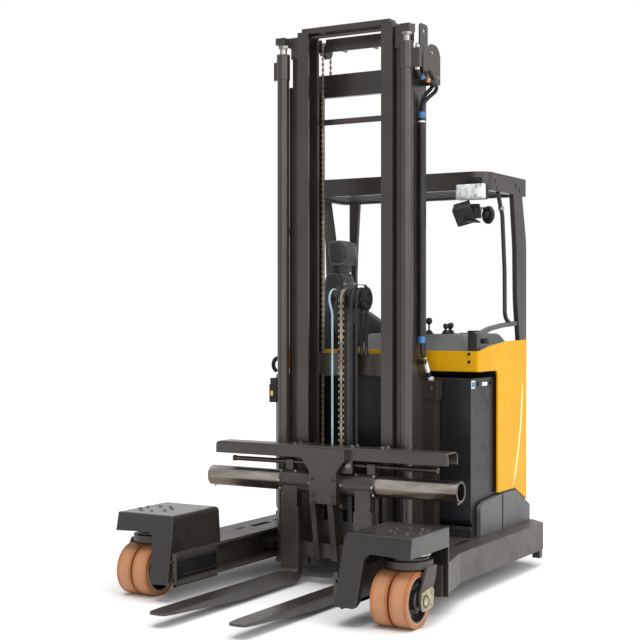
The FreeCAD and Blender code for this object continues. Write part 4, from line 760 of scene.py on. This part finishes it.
for run in hoseRuns:
    name, x, reach, radius = (run[key] for key in ("name", "x", "reach", "radius"))
    foot = hoseStyle["lowerX"] if x < 0 else x
    frontY, rearY, lowZ = wheelY - reach, wheelY + reach, carriageTop - 0.03
    frontLine = along((foot, frontY, lowZ), (foot, frontY, wheelZ - 0.09), 24)
    if x < 0:  # the thin hose leans in under its pulley
        lean = np.linspace(0, 1, 8)[1:]
        leanX = foot + (x - foot) * lean ** 2 * (3 - 2 * lean)
        frontLine = np.concatenate([frontLine, np.stack([leanX, frontY + 0 * lean, wheelZ - 0.09 * (1 - lean)], -1)])
    else:
        frontLine[:, 2] = np.linspace(lowZ, wheelZ, 24)
    piece = make(name + "Front", pipe(frontLine, radius), run["finish"])
    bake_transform(piece)
    rearLine = along((x, rearY, rearFoot), (x, rearY, wheelZ), 12)
    piece = make(name + "Rear", pipe(rearLine, radius), hoseRubber)
    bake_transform(piece)
    bend = np.linspace(0, np.pi, 20)
    arc = np.stack([0 * bend + x, wheelY - reach * np.cos(bend), wheelZ + reach * np.sin(bend)], -1)
    make(name + "Top", pipe(arc, radius), run["finish"], "free_lift_head")
    ferruleProfile = [(0.9, 0), (1.35, 0.002), (1.35, 0.03), (1.1, 0.034), (1.1, 0.045)]
    ferrule = turned([(radius * r, h) for r, h in ferruleProfile], 14)
    make(name + "Ferrule", spread(ferrule, frontLine[0] - (0, 0, 0.012)), zincPlate, "fork_carriage")
    make(name + "RearFerrule", spread(ferrule, rearLine[0] - (0, 0, 0.012)), darkPaint, "upper_mast")

strap = [(-.066, wheelY, 1.54), (-.066, wheelY, 1.590), (-.060, wheelY, 1.596), (.094, wheelY, 1.596), (.100, wheelY, 1.590),
         (.100, wheelY, 1.54)]
bandProfile = rectangle(.016, .002)
make("wheelStrap", closed(carried(bandProfile, strap, (0, 1, 0))), darkPaint, "free_lift_head")

cheekX = corners("crosshead")[1][0]
cheek = turned([(.0625, -.001), (.0645, .001), (.0645, .005), (.060, .008), (.034, .008), (.030, .005), (.022, .005),
                (.020, .012), (.008, .013)], 40)
headFittings = [
    {"name": "strapScrews", "finish": zincPlate, "slot": "bare_steel", "shape": hexBolt(0.014, 0.008),
     "at": [(-.028, wheelY, 1.598), (.034, wheelY, 1.598)]},
    {"name": "pulleyCheek", "finish": blackPlastic, "toward": (1, 0, 0), "shape": cheek, "at": (cheekX, wheelY, wheelZ),
     "sharp": 40},
]
setDown(headFittings, "free_lift_head")

sheath = {"x": 0.386, "y": 0.297, "radius": 0.0185, "top": 2.50, "low": 1.29}
line = along((sheath["x"], sheath["y"], sheath["low"]), (sheath["x"], sheath["y"], sheath["top"]), 60)
ribs = 1 + 0.02 * np.sin(np.arange(60) * 2.1)
ribbed = closed(carried(circle(sheath["radius"], 20), line, (1, 0, 0), ribs))
cover = make("hoseSheath", ribbed, hoseRubber, "mast_base")
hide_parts("mast_hoses")
bands = [("upperBlueBand", 2.481, 2.513, blueCap, 1.10), ("lowerBlueBand", 1.285, 1.320, blueCap, 1.10),
         ("upperWhiteBand", 2.457, 2.466, tagWhite, 1.05)]
for name, low, high, finish, swell in bands:
    piece = collar(washer(sheath["radius"] * 0.9, sheath["radius"] * swell, 0, high - low), 28)
    make(name, spread(piece, (sheath["x"], sheath["y"], low)), finish, "mast_base")
towerTop = corners("mast_carriage")[1][2]
slant = np.array([(.387, .297, 1.30), (.389, .300, 1.245), (.394, .320, 1.19), (.399, .348, 1.13), (.402, .379, 1.075)])
make("slantHose", hose(slant, 0.0115, 12, 14), hoseRubber, "mast_base")
slantBands = [("slantWhiteBand", [(.3948, .3235, 1.182), (.3990, .3480, 1.130)], tagWhite),
              ("lowerWhiteBand", [(.4006, .3620, 1.104), (.4015, .3710, 1.088)], tagWhite),
              ("slantYellowBand", [(.3921, .3130, 1.208), (.3945, .3222, 1.185)], yellowTag)]
for name, line, finish in slantBands:
    make(name, hose(line, 0.0122, 4, 14), finish, "mast_base")
loops = [
    {"name": "loopHoseA", "radius": 0.0105,
     "line": [(.389, .297, 2.50), (.394, .302, 2.555), (.420, .308, 2.588), (.460, .308, 2.618), (.480, .280, 2.641),
              (.478, .230, 2.654), (.464, .180, 2.664), (.449, .146, 2.680), (.444, .136, 2.700)]},
    {"name": "loopHoseB", "radius": 0.0105,
     "line": [(.380, .296, 2.50), (.381, .306, 2.560), (.397, .318, 2.606), (.430, .322, 2.640), (.455, .300, 2.664),
              (.462, .268, 2.690), (.452, .250, 2.720)]},
]
for settings in loops:
    make(settings["name"], hose(settings["line"], settings["radius"], 10, 14), hoseRubber, "mast_base")
elbowNut = turned([(.012, 0), (.0135, .001), (.0135, .014), (.011, .016)], 6)
blockFoot = 2.723
spot = np.array((.440, .134, blockFoot))
elbow = together(spread(elbowNut, spot - (0, 0, .016)), spread(elbowNut, spot + (0, 0, .099)),
                 spread(turned([(.008, 0), (.008, .012), (.005, .014)], 12), spot + (0, 0, .112)))
make("leftPortElbow", elbow, zincPlate, "mast_base")
capFittings = [
    {"name": "blueFitting", "finish": blueCap, "radius": 0.0122, "line": [(.453, .153, 2.676), (.459, .168, 2.668)]},
    {"name": "orangeFitting", "finish": orangeCap, "radius": 0.0120, "line": [(.466, .188, 2.663), (.472, .206, 2.659)]},
]
for cap in capFittings:
    make(cap["name"], hose(cap["line"], cap["radius"], 3, 14), cap["finish"], "mast_base")
blockX = -.4375
mastFittings = [
    {"name": "towerFerrule", "finish": zincPlate, "slot": "bare_steel", "at": (.402, .379, towerTop),
     "shape": turned([(.013, 0), (.016, .002), (.016, .018), (.012, .022)], 6)},
    {"name": "hoseClamp", "finish": darkPaint, "slot": "dark_metal", "at": (.389, .297, 1.172),
     "shape": plate(rectangle(.021, .014), 0.004, 0.028)},
    {"name": "coverBolts", "finish": zincPlate, "slot": "bare_steel", "toward": (1, 0, 0), "shape": hexBolt(0.016, 0.006),
     "at": [(.441, .300, 2.82), (.441, .380, 2.70)]},
    {"name": "rodNuts", "finish": zincPlate, "body": "middle_mast", "slot": "bare_steel", "at": flipped((.378, .134, 2.8955)),
     "shape": collar([(.0205, 0), (.029, 0), (.030, .001), (.030, .015), (.029, .016), (.0205, .016)], 6)},
    {"name": "towerPins", "finish": mastPaint, "slot": "mast_paint", "toward": (0, -1, 0), "at": flipped((.411, .347, 1.040)),
     "shape": turned([(.016, 0), (.016, .004), (.013, .006), (.005, .006)], 20)},
    {"name": "cableBlock", "finish": blackPlastic, "at": (blockX, .152, .953),
     "shape": plate(rectangle(.025, .034), 0.005, 0.100)},
    {"name": "cableBlockCap", "finish": hoseRubber, "at": (blockX, .152, 1.053),
     "shape": plate(rectangle(.022, .030), .006, .034)},
    {"name": "blockTag", "finish": yellowTag, "toward": (0, -1, 0), "at": (blockX - .006, .1180, 1.003),
     "shape": plate(rectangle(.008, .013), .001, .0008, .0002)},
]
setDown(mastFittings, "mast_base")
loopAngle = np.linspace(-0.5 * np.pi, 1.35 * np.pi, 26)
for index, (size, back) in enumerate(((0.044, 0.0), (0.037, 0.010))):
    loop = np.stack([-.430 + size * np.cos(loopAngle), .172 + back + 0 * loopAngle, 1.158 + size * np.sin(loopAngle)], -1)
    coil = closed(carried(circle(0.0065, 10), loop, (0, 1, 0)))
    make("cableLoop" + "AB"[index], coil, hoseRubber, "mast_base")
drop = hose([(-.430, .174, 1.116), (-.434, .168, 1.10), (-.437, .160, 1.08)], 0.0068)
make("cableDrop", drop, hoseRubber, "mast_base")
print("hoses made")


# ---- lamps, levers and controls ----

lampGlass = Finish("lampGlass", (0.80, 0.82, 0.82), 0.10, Coat_Weight=1.0, Coat_Roughness=0.03)
# painted reflection: the lens colour swings in blotches between dark grey and near white, standing in for what the
# reflector behind the clear glass reflects
facets = lampGlass.add("ShaderNodeTexVoronoi", {}, {"Vector": lampGlass.place((1.0, 0.3, 0.55)), "Scale": 42})
paintedReflection = lampGlass.noise(16, (1, 0.3, 1), detail=2)
shine = lampGlass.band(paintedReflection + 0.5 * facets, 0.45, 0.95)
lampGlass.put("Base Color", lampGlass.mixed(shine, (0.24, 0.26, 0.27), (0.80, 0.83, 0.83)))
lampGlass.put("Roughness", 0.08 + 0.2 * facets)
lampGlass.relief(facets, 0.0012)
screenGlass = Finish("screenGlass", (0.012, 0.016, 0.020), 0.08, Coat_Weight=1.0)
screenGlass.put("Roughness", 0.06 + 0.10 * screenGlass.noise(30))


def bulged(corners, radius, steps):  # an outline drawn in and raised by (scale, height) steps
    flat = outline(corners, radius)
    middle = flat.mean(0)
    return closed(np.stack([np.column_stack([middle + (flat - middle) * s, np.full(len(flat), h)]) for s, h in steps]))


lamps = {"clear": (.541, .632, 2.106), "black": (.506, .575, 1.985), "horn": (.641, .625, 1.977)}
forwards = (0, -1, 0)
shell = spread(bulged(rectangle(.088, .043), .012, [(.93, 0), (1, .006), (1, .036), (.98, .040)]), lamps["clear"], forwards)
lampShell = make("lampShell", shell, blackPlastic, "chassis")
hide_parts("work_lamps")
leanLamp = {"face": (.35, -.72, -.60), "edge": (.86, .36, .36)}  # the lower lamp looks down, turned a little to the side
lampFrame = frames(leanLamp["face"], leanLamp["edge"])
lampBack = np.array(lamps["black"]) - 0.050 * lampFrame[:, 2]
hornWay = (-.5, -.86, 0)
hornProfile = [(.028, 0), (.044, .004), (.049, .010), (.049, .018), (.044, .026), (.036, .028), (.030, .024), (.022, .024),
               (.019, .034), (.010, .038)]
lampPieces = [
    {"name": "lampLens", "finish": lampGlass, "toward": forwards, "at": np.array(lamps["clear"]) + (0, -.038, 0), "sharp": 60,
     "shape": bulged(rectangle(.086, .041), .011, [(1, 0), (1, .012), (.985, .016), (.93, .019), (.7, .0215), (.35, .023)])},
    {"name": "lowerLamp", "finish": blackPlastic, "toward": lampFrame, "at": lampBack,
     "shape": bulged(rectangle(.056, .052), .010, [(.80, 0), (.86, .012), (.98, .055), (1, .062), (1, .074), (.97, .078)])},
    {"name": "lowerLampLens", "finish": hoseRubber, "toward": lampFrame, "at": lampBack,
     "shape": bulged(rectangle(.051, .047), .008, [(1, .076), (1, .079), (.96, .081), (.90, .081)])},
    {"name": "lampRibs", "finish": blackPlastic, "toward": lampFrame,
     "at": lampBack + np.linspace(-.040, .040, 6)[:, None] * lampFrame[:, 0],
     "shape": bulged(rectangle(.0020, .046), .001, [(1, -.006), (1, .020), (1, .052)])},
    {"name": "lampFoot", "finish": blackPlastic, "at": (.560, .612, 1.962),
     "shape": plate(rectangle(.022, .030), .004, .052)},
    {"name": "lampTray", "finish": guardPaint, "toward": (.3, -.2, .93), "at": (.545, .590, 1.944),
     "shape": plate(rectangle(.044, .024), .004, .006)},
    {"name": "horn", "finish": blackPlastic, "toward": hornWay, "at": lamps["horn"], "sharp": 50,
     "shape": turned(hornProfile, 36)},
    {"name": "hornCentre", "finish": darkPaint, "toward": hornWay, "at": lamps["horn"],
     "shape": turned([(.012, .034), (.012, .0395), (.006, .041)], 20)},
    {"name": "bracketBolts", "finish": zincPlate, "slot": "bare_steel", "toward": forwards, "shape": hexBolt(0.013, 0.006),
     "at": [(.526, .635, 2.172), (.560, .635, 2.168), (.600, .594, 2.014)]},
    {"name": "railClamp", "finish": zincPlate, "slot": "bare_steel", "at": (.585, .908, 2.026),
     "shape": collar(washer(0.0122, 0.0178, 0, 0.018), 24)},
    {"name": "railClampBolt", "finish": zincPlate, "slot": "bare_steel", "toward": forwards, "at": (.585, .892, 2.035),
     "shape": hexBolt(0.011, 0.006)},
]
setDown(lampPieces, "chassis")
bracketPieces = [spread(plate(rectangle(.042, .022), .005, .005), (.542, .640, 2.166), forwards),
                 spread(plate(rectangle(.030, .012), .003, .030), (.542, .627, 2.149), (0, 0, 1), (0, 1, 0)),
                 spread(plate(rectangle(.030, .010), .003, .024), (.552, .622, 2.030), forwards),
                 spread(plate(rectangle(.080, .006), .003, .030), (.575, .625, 2.014), forwards)]
make("lampBracket", together(*bracketPieces), blackPlastic, "chassis")

panelTop = corners("dashboard")[1][2]
sticks = [  # where each lever stands, how tall it is and how wide its knob
    {"name": "lift", "at": (.362, .650), "height": .034, "knob": .0150},
    {"name": "tilt", "at": (.352, .740), "height": .036, "knob": .0165},
    {"name": "reach", "at": (.318, .800), "height": .032, "knob": .0155},
    {"name": "drive", "at": (.265, .640), "height": .060, "knob": .0185},
]
bootProfile = [(.027, 0), (.027, .003), (.021, .006), (.023, .009), (.017, .012), (.019, .015), (.013, .018), (.014, .021),
               (.008, .024)]
boots, knobs = [], []
for stick in sticks:
    foot = (*stick["at"], panelTop - .001)
    boots.append(spread(turned(bootProfile, 20), foot))
    k, h = stick["knob"], stick["height"]
    ball = [(.95 * k, h + .4 * k), (k, h + .9 * k), (.8 * k, h + 1.5 * k), (.35 * k, h + 1.75 * k)]
    knobs.append(spread(turned([(.005, .018), (.005, h - .006), (.6 * k, h - .004), *ball], 20), foot))
leverBoots = make("leverBoots", together(*boots), hoseRubber, "chassis", 60)
make("leverKnobs", together(*knobs), blackPlastic, "chassis", 60)
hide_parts("levers")
controls = [
    {"name": "fillerCap", "finish": blackPlastic, "at": (.570, .705, 1.281),
     "shape": turned([(.026, -.004), (.026, .010), (.022, .012), (.022, .022), (.018, .025), (.006, .025)], 14)},
    {"name": "displayScreen", "finish": blackPlastic, "roll": (1, 0, 0), "at": (.40, 1.00, panelTop - .001),
     "shape": bulged(rectangle(.060, .038), .006, [(1, 0), (1, .014), (.96, .017), (.9, .017)])},
    {"name": "displayGlass", "finish": screenGlass, "roll": (1, 0, 0), "at": (.40, 1.00, panelTop + .0158),
     "shape": plate(rectangle(.050, .029), .003, .0015)},
    {"name": "switches", "finish": blackPlastic, "at": [(x, .905, panelTop - .001) for x in np.linspace(.345, .455, 5)],
     "shape": bulged(rectangle(.008, .012), .002, [(1, 0), (1, .003), (.85, .006)])},
]
setDown(controls, "chassis")

steering = {"at": (.155, .980, 1.190), "foot": (.215, .980, .830), "radius": .115, "grip": .011, "lean": (-.35, 0, .94)}
ringAngle = np.linspace(0, 2 * np.pi, 48, endpoint=False)
gripAngle = np.linspace(0, 2 * np.pi, 12, endpoint=False)
reach = steering["radius"] + steering["grip"] * np.cos(gripAngle)[None, :]
wheelPoints = np.stack([reach * np.cos(ringAngle)[:, None], reach * np.sin(ringAngle)[:, None],
                        steering["grip"] * np.sin(gripAngle)[None, :] + 0 * ringAngle[:, None]], -1).reshape(-1, 3)
wheelShape = (wheelPoints, [gridFaces(48, 12, True)])
hubShape = turned([(.030, -.012), (.034, -.004), (.030, .006), (.010, .009)], 24)


def spoke(angle):  # a round bar from the hub to the ring
    inner, outer = ((r * math.cos(angle), r * math.sin(angle), z) for r, z in ((.02, -.004), (.108, -.002)))
    return closed(carried(circle(.008, 10), along(inner, outer, 6), (0, 0, 1)))


knobProfile = [(.008, 0), (.008, .014), (.019, .018), (.023, .030), (.018, .044), (.006, .048)]
knobShape = spread(turned(knobProfile, 20), (.085, -.060, .006))
steeringShape = together(wheelShape, hubShape, *[spoke(angle) for angle in (0.5, 2.6, 4.7)], knobShape)
steeringWheel = spread(steeringShape, steering["at"], steering["lean"], (0, 1, 0))
make("steeringWheel", steeringWheel, blackPlastic, "chassis", 50)
columnLine = along(steering["foot"], np.array(steering["at"]) + (.006, 0, -.014), 8)
make("steeringColumn", closed(carried(circle(.024, 16), columnLine, (0, 1, 0))), coverPlastic, "chassis")

outwards = (1, 0, 0)
tagSide = corners("battery")[1][0]
tags = [{"name": "blueTag", "y": (.437, .484), "z": (1.040, 1.083)},
        {"name": "whiteTag", "y": (.578, .648), "z": (1.050, 1.070)}]
for tag in tags:
    (y0, y1), (z0, z1) = tag["y"], tag["z"]
    card = plate(rectangle((y1 - y0) / 2, (z1 - z0) / 2), .002, .0011, .0003)
    make(tag["name"], spread(card, (tagSide, (y0 + y1) / 2, (z0 + z1) / 2), outwards), tagWhite, "chassis")
caseMarks = [
    {"name": "blueTagField", "finish": blueCap, "toward": outwards, "at": (tagSide + .001, .461, 1.061),
     "shape": plate(rectangle(.018, .014), .002, .0005, .0002)},
    {"name": "liftHoleRings", "finish": hoseRubber, "toward": outwards,
     "at": [(tagSide, .525, 1.063), (tagSide, .688, 1.063)],
     "shape": collar(washer(.0120, .0185, 0, .0012), 28)},
]
setDown(caseMarks, "chassis")
coverSide = corners("lower_covers")[1][0]
for side, sign in sides:
    seam = spread(plate(rectangle(.0055, .098), .001, .0012, .0003), (sign * coverSide, .798, .345), (sign, 0, 0))
    make("coverSeam" + side.capitalize(), seam, gapBlack, "chassis")
print("lamps and controls made")


# ---- seat ----

def padShape(levels, order, rows=36, count=44, power=4.4, endPower=9):
    # rings along one axis: a superellipse |a|^p + |b|^p = 1 between the near and far faces, drawn in at both ends
    levels = np.asarray(levels, float)
    t = np.linspace(0, 1, rows)
    at = levels[0, 0] + (levels[-1, 0] - levels[0, 0]) * t
    half, near, far = (np.interp(at, levels[:, 0], levels[:, k]) for k in (1, 2, 3))
    shrink = np.maximum(1 - np.abs(2 * t - 1) ** endPower, 0.02) ** (1 / endPower)
    angle = np.linspace(0, 2 * np.pi, count, endpoint=False)
    a = np.sign(np.cos(angle)) * np.abs(np.cos(angle)) ** (2 / power)
    b = np.sign(np.sin(angle)) * np.abs(np.sin(angle)) ** (2 / power)
    depth = ((near + far) / 2)[:, None] + ((far - near) / 2 * shrink)[:, None] * a
    width = (half * shrink)[:, None] * b
    line = at[:, None] + 0 * width
    parts = {"level": line, "depth": depth, "width": width}
    return closed(np.stack([parts[key] for key in order], -1))


def baked(item, name):  # the piece with its modifiers worked in
    result = bpy.data.meshes.new_from_object(item.evaluated_get(bpy.context.evaluated_depsgraph_get()))
    item.modifiers.clear()
    old = item.data
    item.data = result
    bpy.data.meshes.remove(old)
    result.name = name
    return item


def spots(mesh):  # a mesh's points as an array
    flat = np.empty(len(mesh.vertices) * 3)
    mesh.vertices.foreach_get("co", flat)
    return flat.reshape(-1, 3)


def puffed(item, settings):
    # air inside swells the cover; no point moves further than the cap; channels sink by depth * exp(-(distance / width)^2)
    name = item.name
    voxels = item.modifiers.new("voxels", "REMESH")
    voxels.mode, voxels.voxel_size = "VOXEL", settings["voxel"]
    baked(item, name)
    rest = spots(item.data)
    moved = rest.copy()
    cloth = item.modifiers.new("air", "CLOTH")
    cloth.settings.use_pressure, cloth.settings.uniform_pressure_force = True, settings["pressure"]
    cloth.settings.effector_weights.gravity = 0
    cloth.settings.quality = 5
    for step in range(1, 21):
        bpy.context.scene.frame_set(step)
    swollen = item.evaluated_get(bpy.context.evaluated_depsgraph_get()).to_mesh()
    moved = spots(swollen)
    item.evaluated_get(bpy.context.evaluated_depsgraph_get()).to_mesh_clear()
    item.modifiers.clear()
    bpy.context.scene.frame_set(1)
    shift = moved - rest
    length = np.linalg.norm(shift, axis=1)[:, None]
    shift *= np.minimum(1, settings["cap"] / np.maximum(length, 1e-9))
    points = rest + shift
    item.data.vertices.foreach_set("co", points.ravel())
    item.data.update()
    normals = np.empty(len(points) * 3)
    item.data.vertex_normals.foreach_get("vector", normals)
    normals = normals.reshape(-1, 3)
    sink = 0 * points[:, 0]
    for axis, place, facing, sign in settings["channels"]:
        face = np.clip((sign * normals[:, facing] - 0.2) / 0.4, 0, 1)
        sink = np.maximum(sink, face * np.exp(-((points[:, axis] - place) / settings["channelWidth"]) ** 2))
    points -= normals * (sink * settings["channelDepth"])[:, None]
    item.data.vertices.foreach_set("co", points.ravel())
    item.data.update()
    smooth = item.modifiers.new("smooth", "SUBSURF")
    smooth.levels = smooth.render_levels = 1
    baked(item, name)
    item.data.polygons.foreach_set("use_smooth", [True] * len(item.data.polygons))
    return item


seatY = middleOf("seat_cushion")[1]
pads = [
    {"name": "backCushion", "node": "seat_backrest", "order": ("depth", "width", "level"), "voxel": 0.006, "pressure": 4.0,
     "cap": 0.012, "fill": 0.8,
     "levels": [(.922, .170, -.558, -.430), (1.05, .180, -.564, -.434), (1.30, .182, -.570, -.450),
                (1.45, .178, -.568, -.456),
                (1.575, .128, -.564, -.458), (1.704, .118, -.556, -.450)],
     "channels": [(1, -.085, 0, 1), (1, .085, 0, 1), (2, 1.13, 0, 1), (2, 1.29, 0, 1), (2, 1.47, 0, 1)],
     "channelWidth": 0.007, "channelDepth": 0.007},
    {"name": "seatCushion", "node": "seat_cushion", "order": ("level", "width", "depth"), "voxel": 0.006, "pressure": 4.0,
     "cap": 0.012, "fill": 0.8,
     "levels": [(-.533, .172, .790, .896), (-.30, .174, .790, .900), (-.19, .172, .796, .900), (-.075, .164, .826, .892)],
     "channels": [(1, -.095, 2, 1), (1, .095, 2, 1), (0, -.40, 2, 1), (0, -.24, 2, 1)], "channelWidth": 0.007,
     "channelDepth": 0.006},
    {"name": "headPad", "node": "headrest", "order": ("depth", "width", "level"), "voxel": 0.005, "pressure": 4.0,
     "cap": 0.008, "fill": 0.85,
     "levels": [(1.741, .126, -.524, -.430), (1.80, .128, -.532, -.434), (1.878, .124, -.536, -.448)],
     "channels": [(1, -.080, 0, 1), (1, .080, 0, 1)], "channelWidth": 0.004, "channelDepth": 0.002},
]
for settings in pads:
    points, faces = padShape(settings["levels"], settings["order"], 60, 60)
    points = points + (0, seatY, 0)
    settings["channels"] = [(axis, place + (seatY if axis == 1 else 0), facing, sign)
                            for axis, place, facing, sign in settings["channels"]]
    pad = make(settings["name"], (points, faces), seatCloth, "chassis", 180)
    puffed(pad, settings)
    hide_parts(settings["node"])
stemLines = [along((-.490, seatY + off, 1.700), (-.490, seatY + off, 1.750), 4) for off in (-.06, .06)]
stems = [closed(carried(circle(.008, 14), line, (1, 0, 0))) for line in stemLines]
make("headrestStems", together(*stems), rodSteel, "chassis")
armSide = [(-.465, 1.490), (-.235, 1.455), (-.135, 1.392), (.060, 1.370), (.085, 1.345), (.060, 1.316), (-.020, 1.246),
           (-.360, 1.246), (-.475, 1.370)]
armRest = spread(plate(armSide, .020, .078, .010), (0, .888, 0), (0, -1, 0), (0, 0, 1))
make("armRest", armRest, seatCloth, "chassis", 60)
bracket = plate(rectangle(.024, .082), .010, .062)
make("headrestBracket", spread(bracket, (-.492, seatY, 1.694)), blackPlastic, "chassis")
print("seat made")


# ---- floor, light and camera ----

view = {"place": (3.5436, -6.1751, 1.4373), "azimuth": 30.3125, "dip": 0.2358, "lens": 75.93}
camera = bpy.data.objects.new("camera", bpy.data.cameras.new("camera"))
bpy.context.collection.objects.link(camera)
camera.data.lens, camera.data.sensor_width = view["lens"], 36
camera.location = view["place"]
camera.rotation_euler = (math.radians(90 - view["dip"]), 0, math.radians(view["azimuth"]))
bpy.context.scene.camera = camera

floorFinish = Finish("studioFloor", (0.86, 0.86, 0.86), 0.55)
floorFinish.put("Roughness", 0.5 + 0.1 * floorFinish.noise(2))
edge = np.linspace(-30, 30, 13)
across, depth = np.meshgrid(edge, edge)
floorPoints = np.stack([across.ravel(), depth.ravel(), 0 * across.ravel()], -1)
floor = make("floor", (floorPoints, [gridFaces(13, 13, False, False)]), floorFinish, outward=False)

world = bpy.data.worlds.new("studio")
bpy.context.scene.world = world
world.use_nodes = True
# the pale backdrop that is seen, the dimmer room that lights the truck
room = {"backdrop": 1.0, "walls": 0.24, "shine": 0.75}
tree = world.node_tree
walls, backdrop = tree.nodes["Background"], tree.nodes.new("ShaderNodeBackground")
for shade, strength in ((walls, room["walls"]), (backdrop, room["backdrop"])):
    shade.inputs["Color"].default_value = (1, 1, 1, 1)
    shade.inputs["Strength"].default_value = strength
seen = tree.nodes.new("ShaderNodeLightPath")
blend = tree.nodes.new("ShaderNodeMixShader")
shine = tree.nodes.new("ShaderNodeMath")
shine.operation = "MULTIPLY_ADD"
shine.inputs[1].default_value = room["shine"]
wiring = [(seen.outputs["Is Glossy Ray"], shine.inputs[0]), (seen.outputs["Is Camera Ray"], shine.inputs[2]),
          (shine.outputs[0], blend.inputs[0]), (walls.outputs[0], blend.inputs[1]), (backdrop.outputs[0], blend.inputs[2]),
          (blend.outputs[0], tree.nodes["World Output"].inputs["Surface"])]
for source, target in wiring:
    tree.links.new(source, target)
softLights = [
    {"name": "ceiling", "from": (0.20, 0.15, 1.0), "power": 2.6, "spread": 75},
    {"name": "keyTop", "from": (0.10, -0.45, 1.0), "power": 0.9, "spread": 14},
    {"name": "windowRight", "from": (1.0, -0.12, 0.42), "power": 1.35, "spread": 40},
    {"name": "fillFront", "from": (0.55, -1.0, 0.35), "power": 0.95, "spread": 50},
]
for settings in softLights:
    light = bpy.data.lights.new(settings["name"], "SUN")
    light.energy, light.angle = settings["power"], math.radians(settings["spread"])
    lamp = bpy.data.objects.new(settings["name"], light)
    lamp.location = Vector(settings["from"]) * 6
    lamp.rotation_euler = (-Vector(settings["from"])).to_track_quat("-Z", "Y").to_euler()
    bpy.context.collection.objects.link(lamp)
bpy.context.scene.view_settings.view_transform = "Standard"
print("stage set")
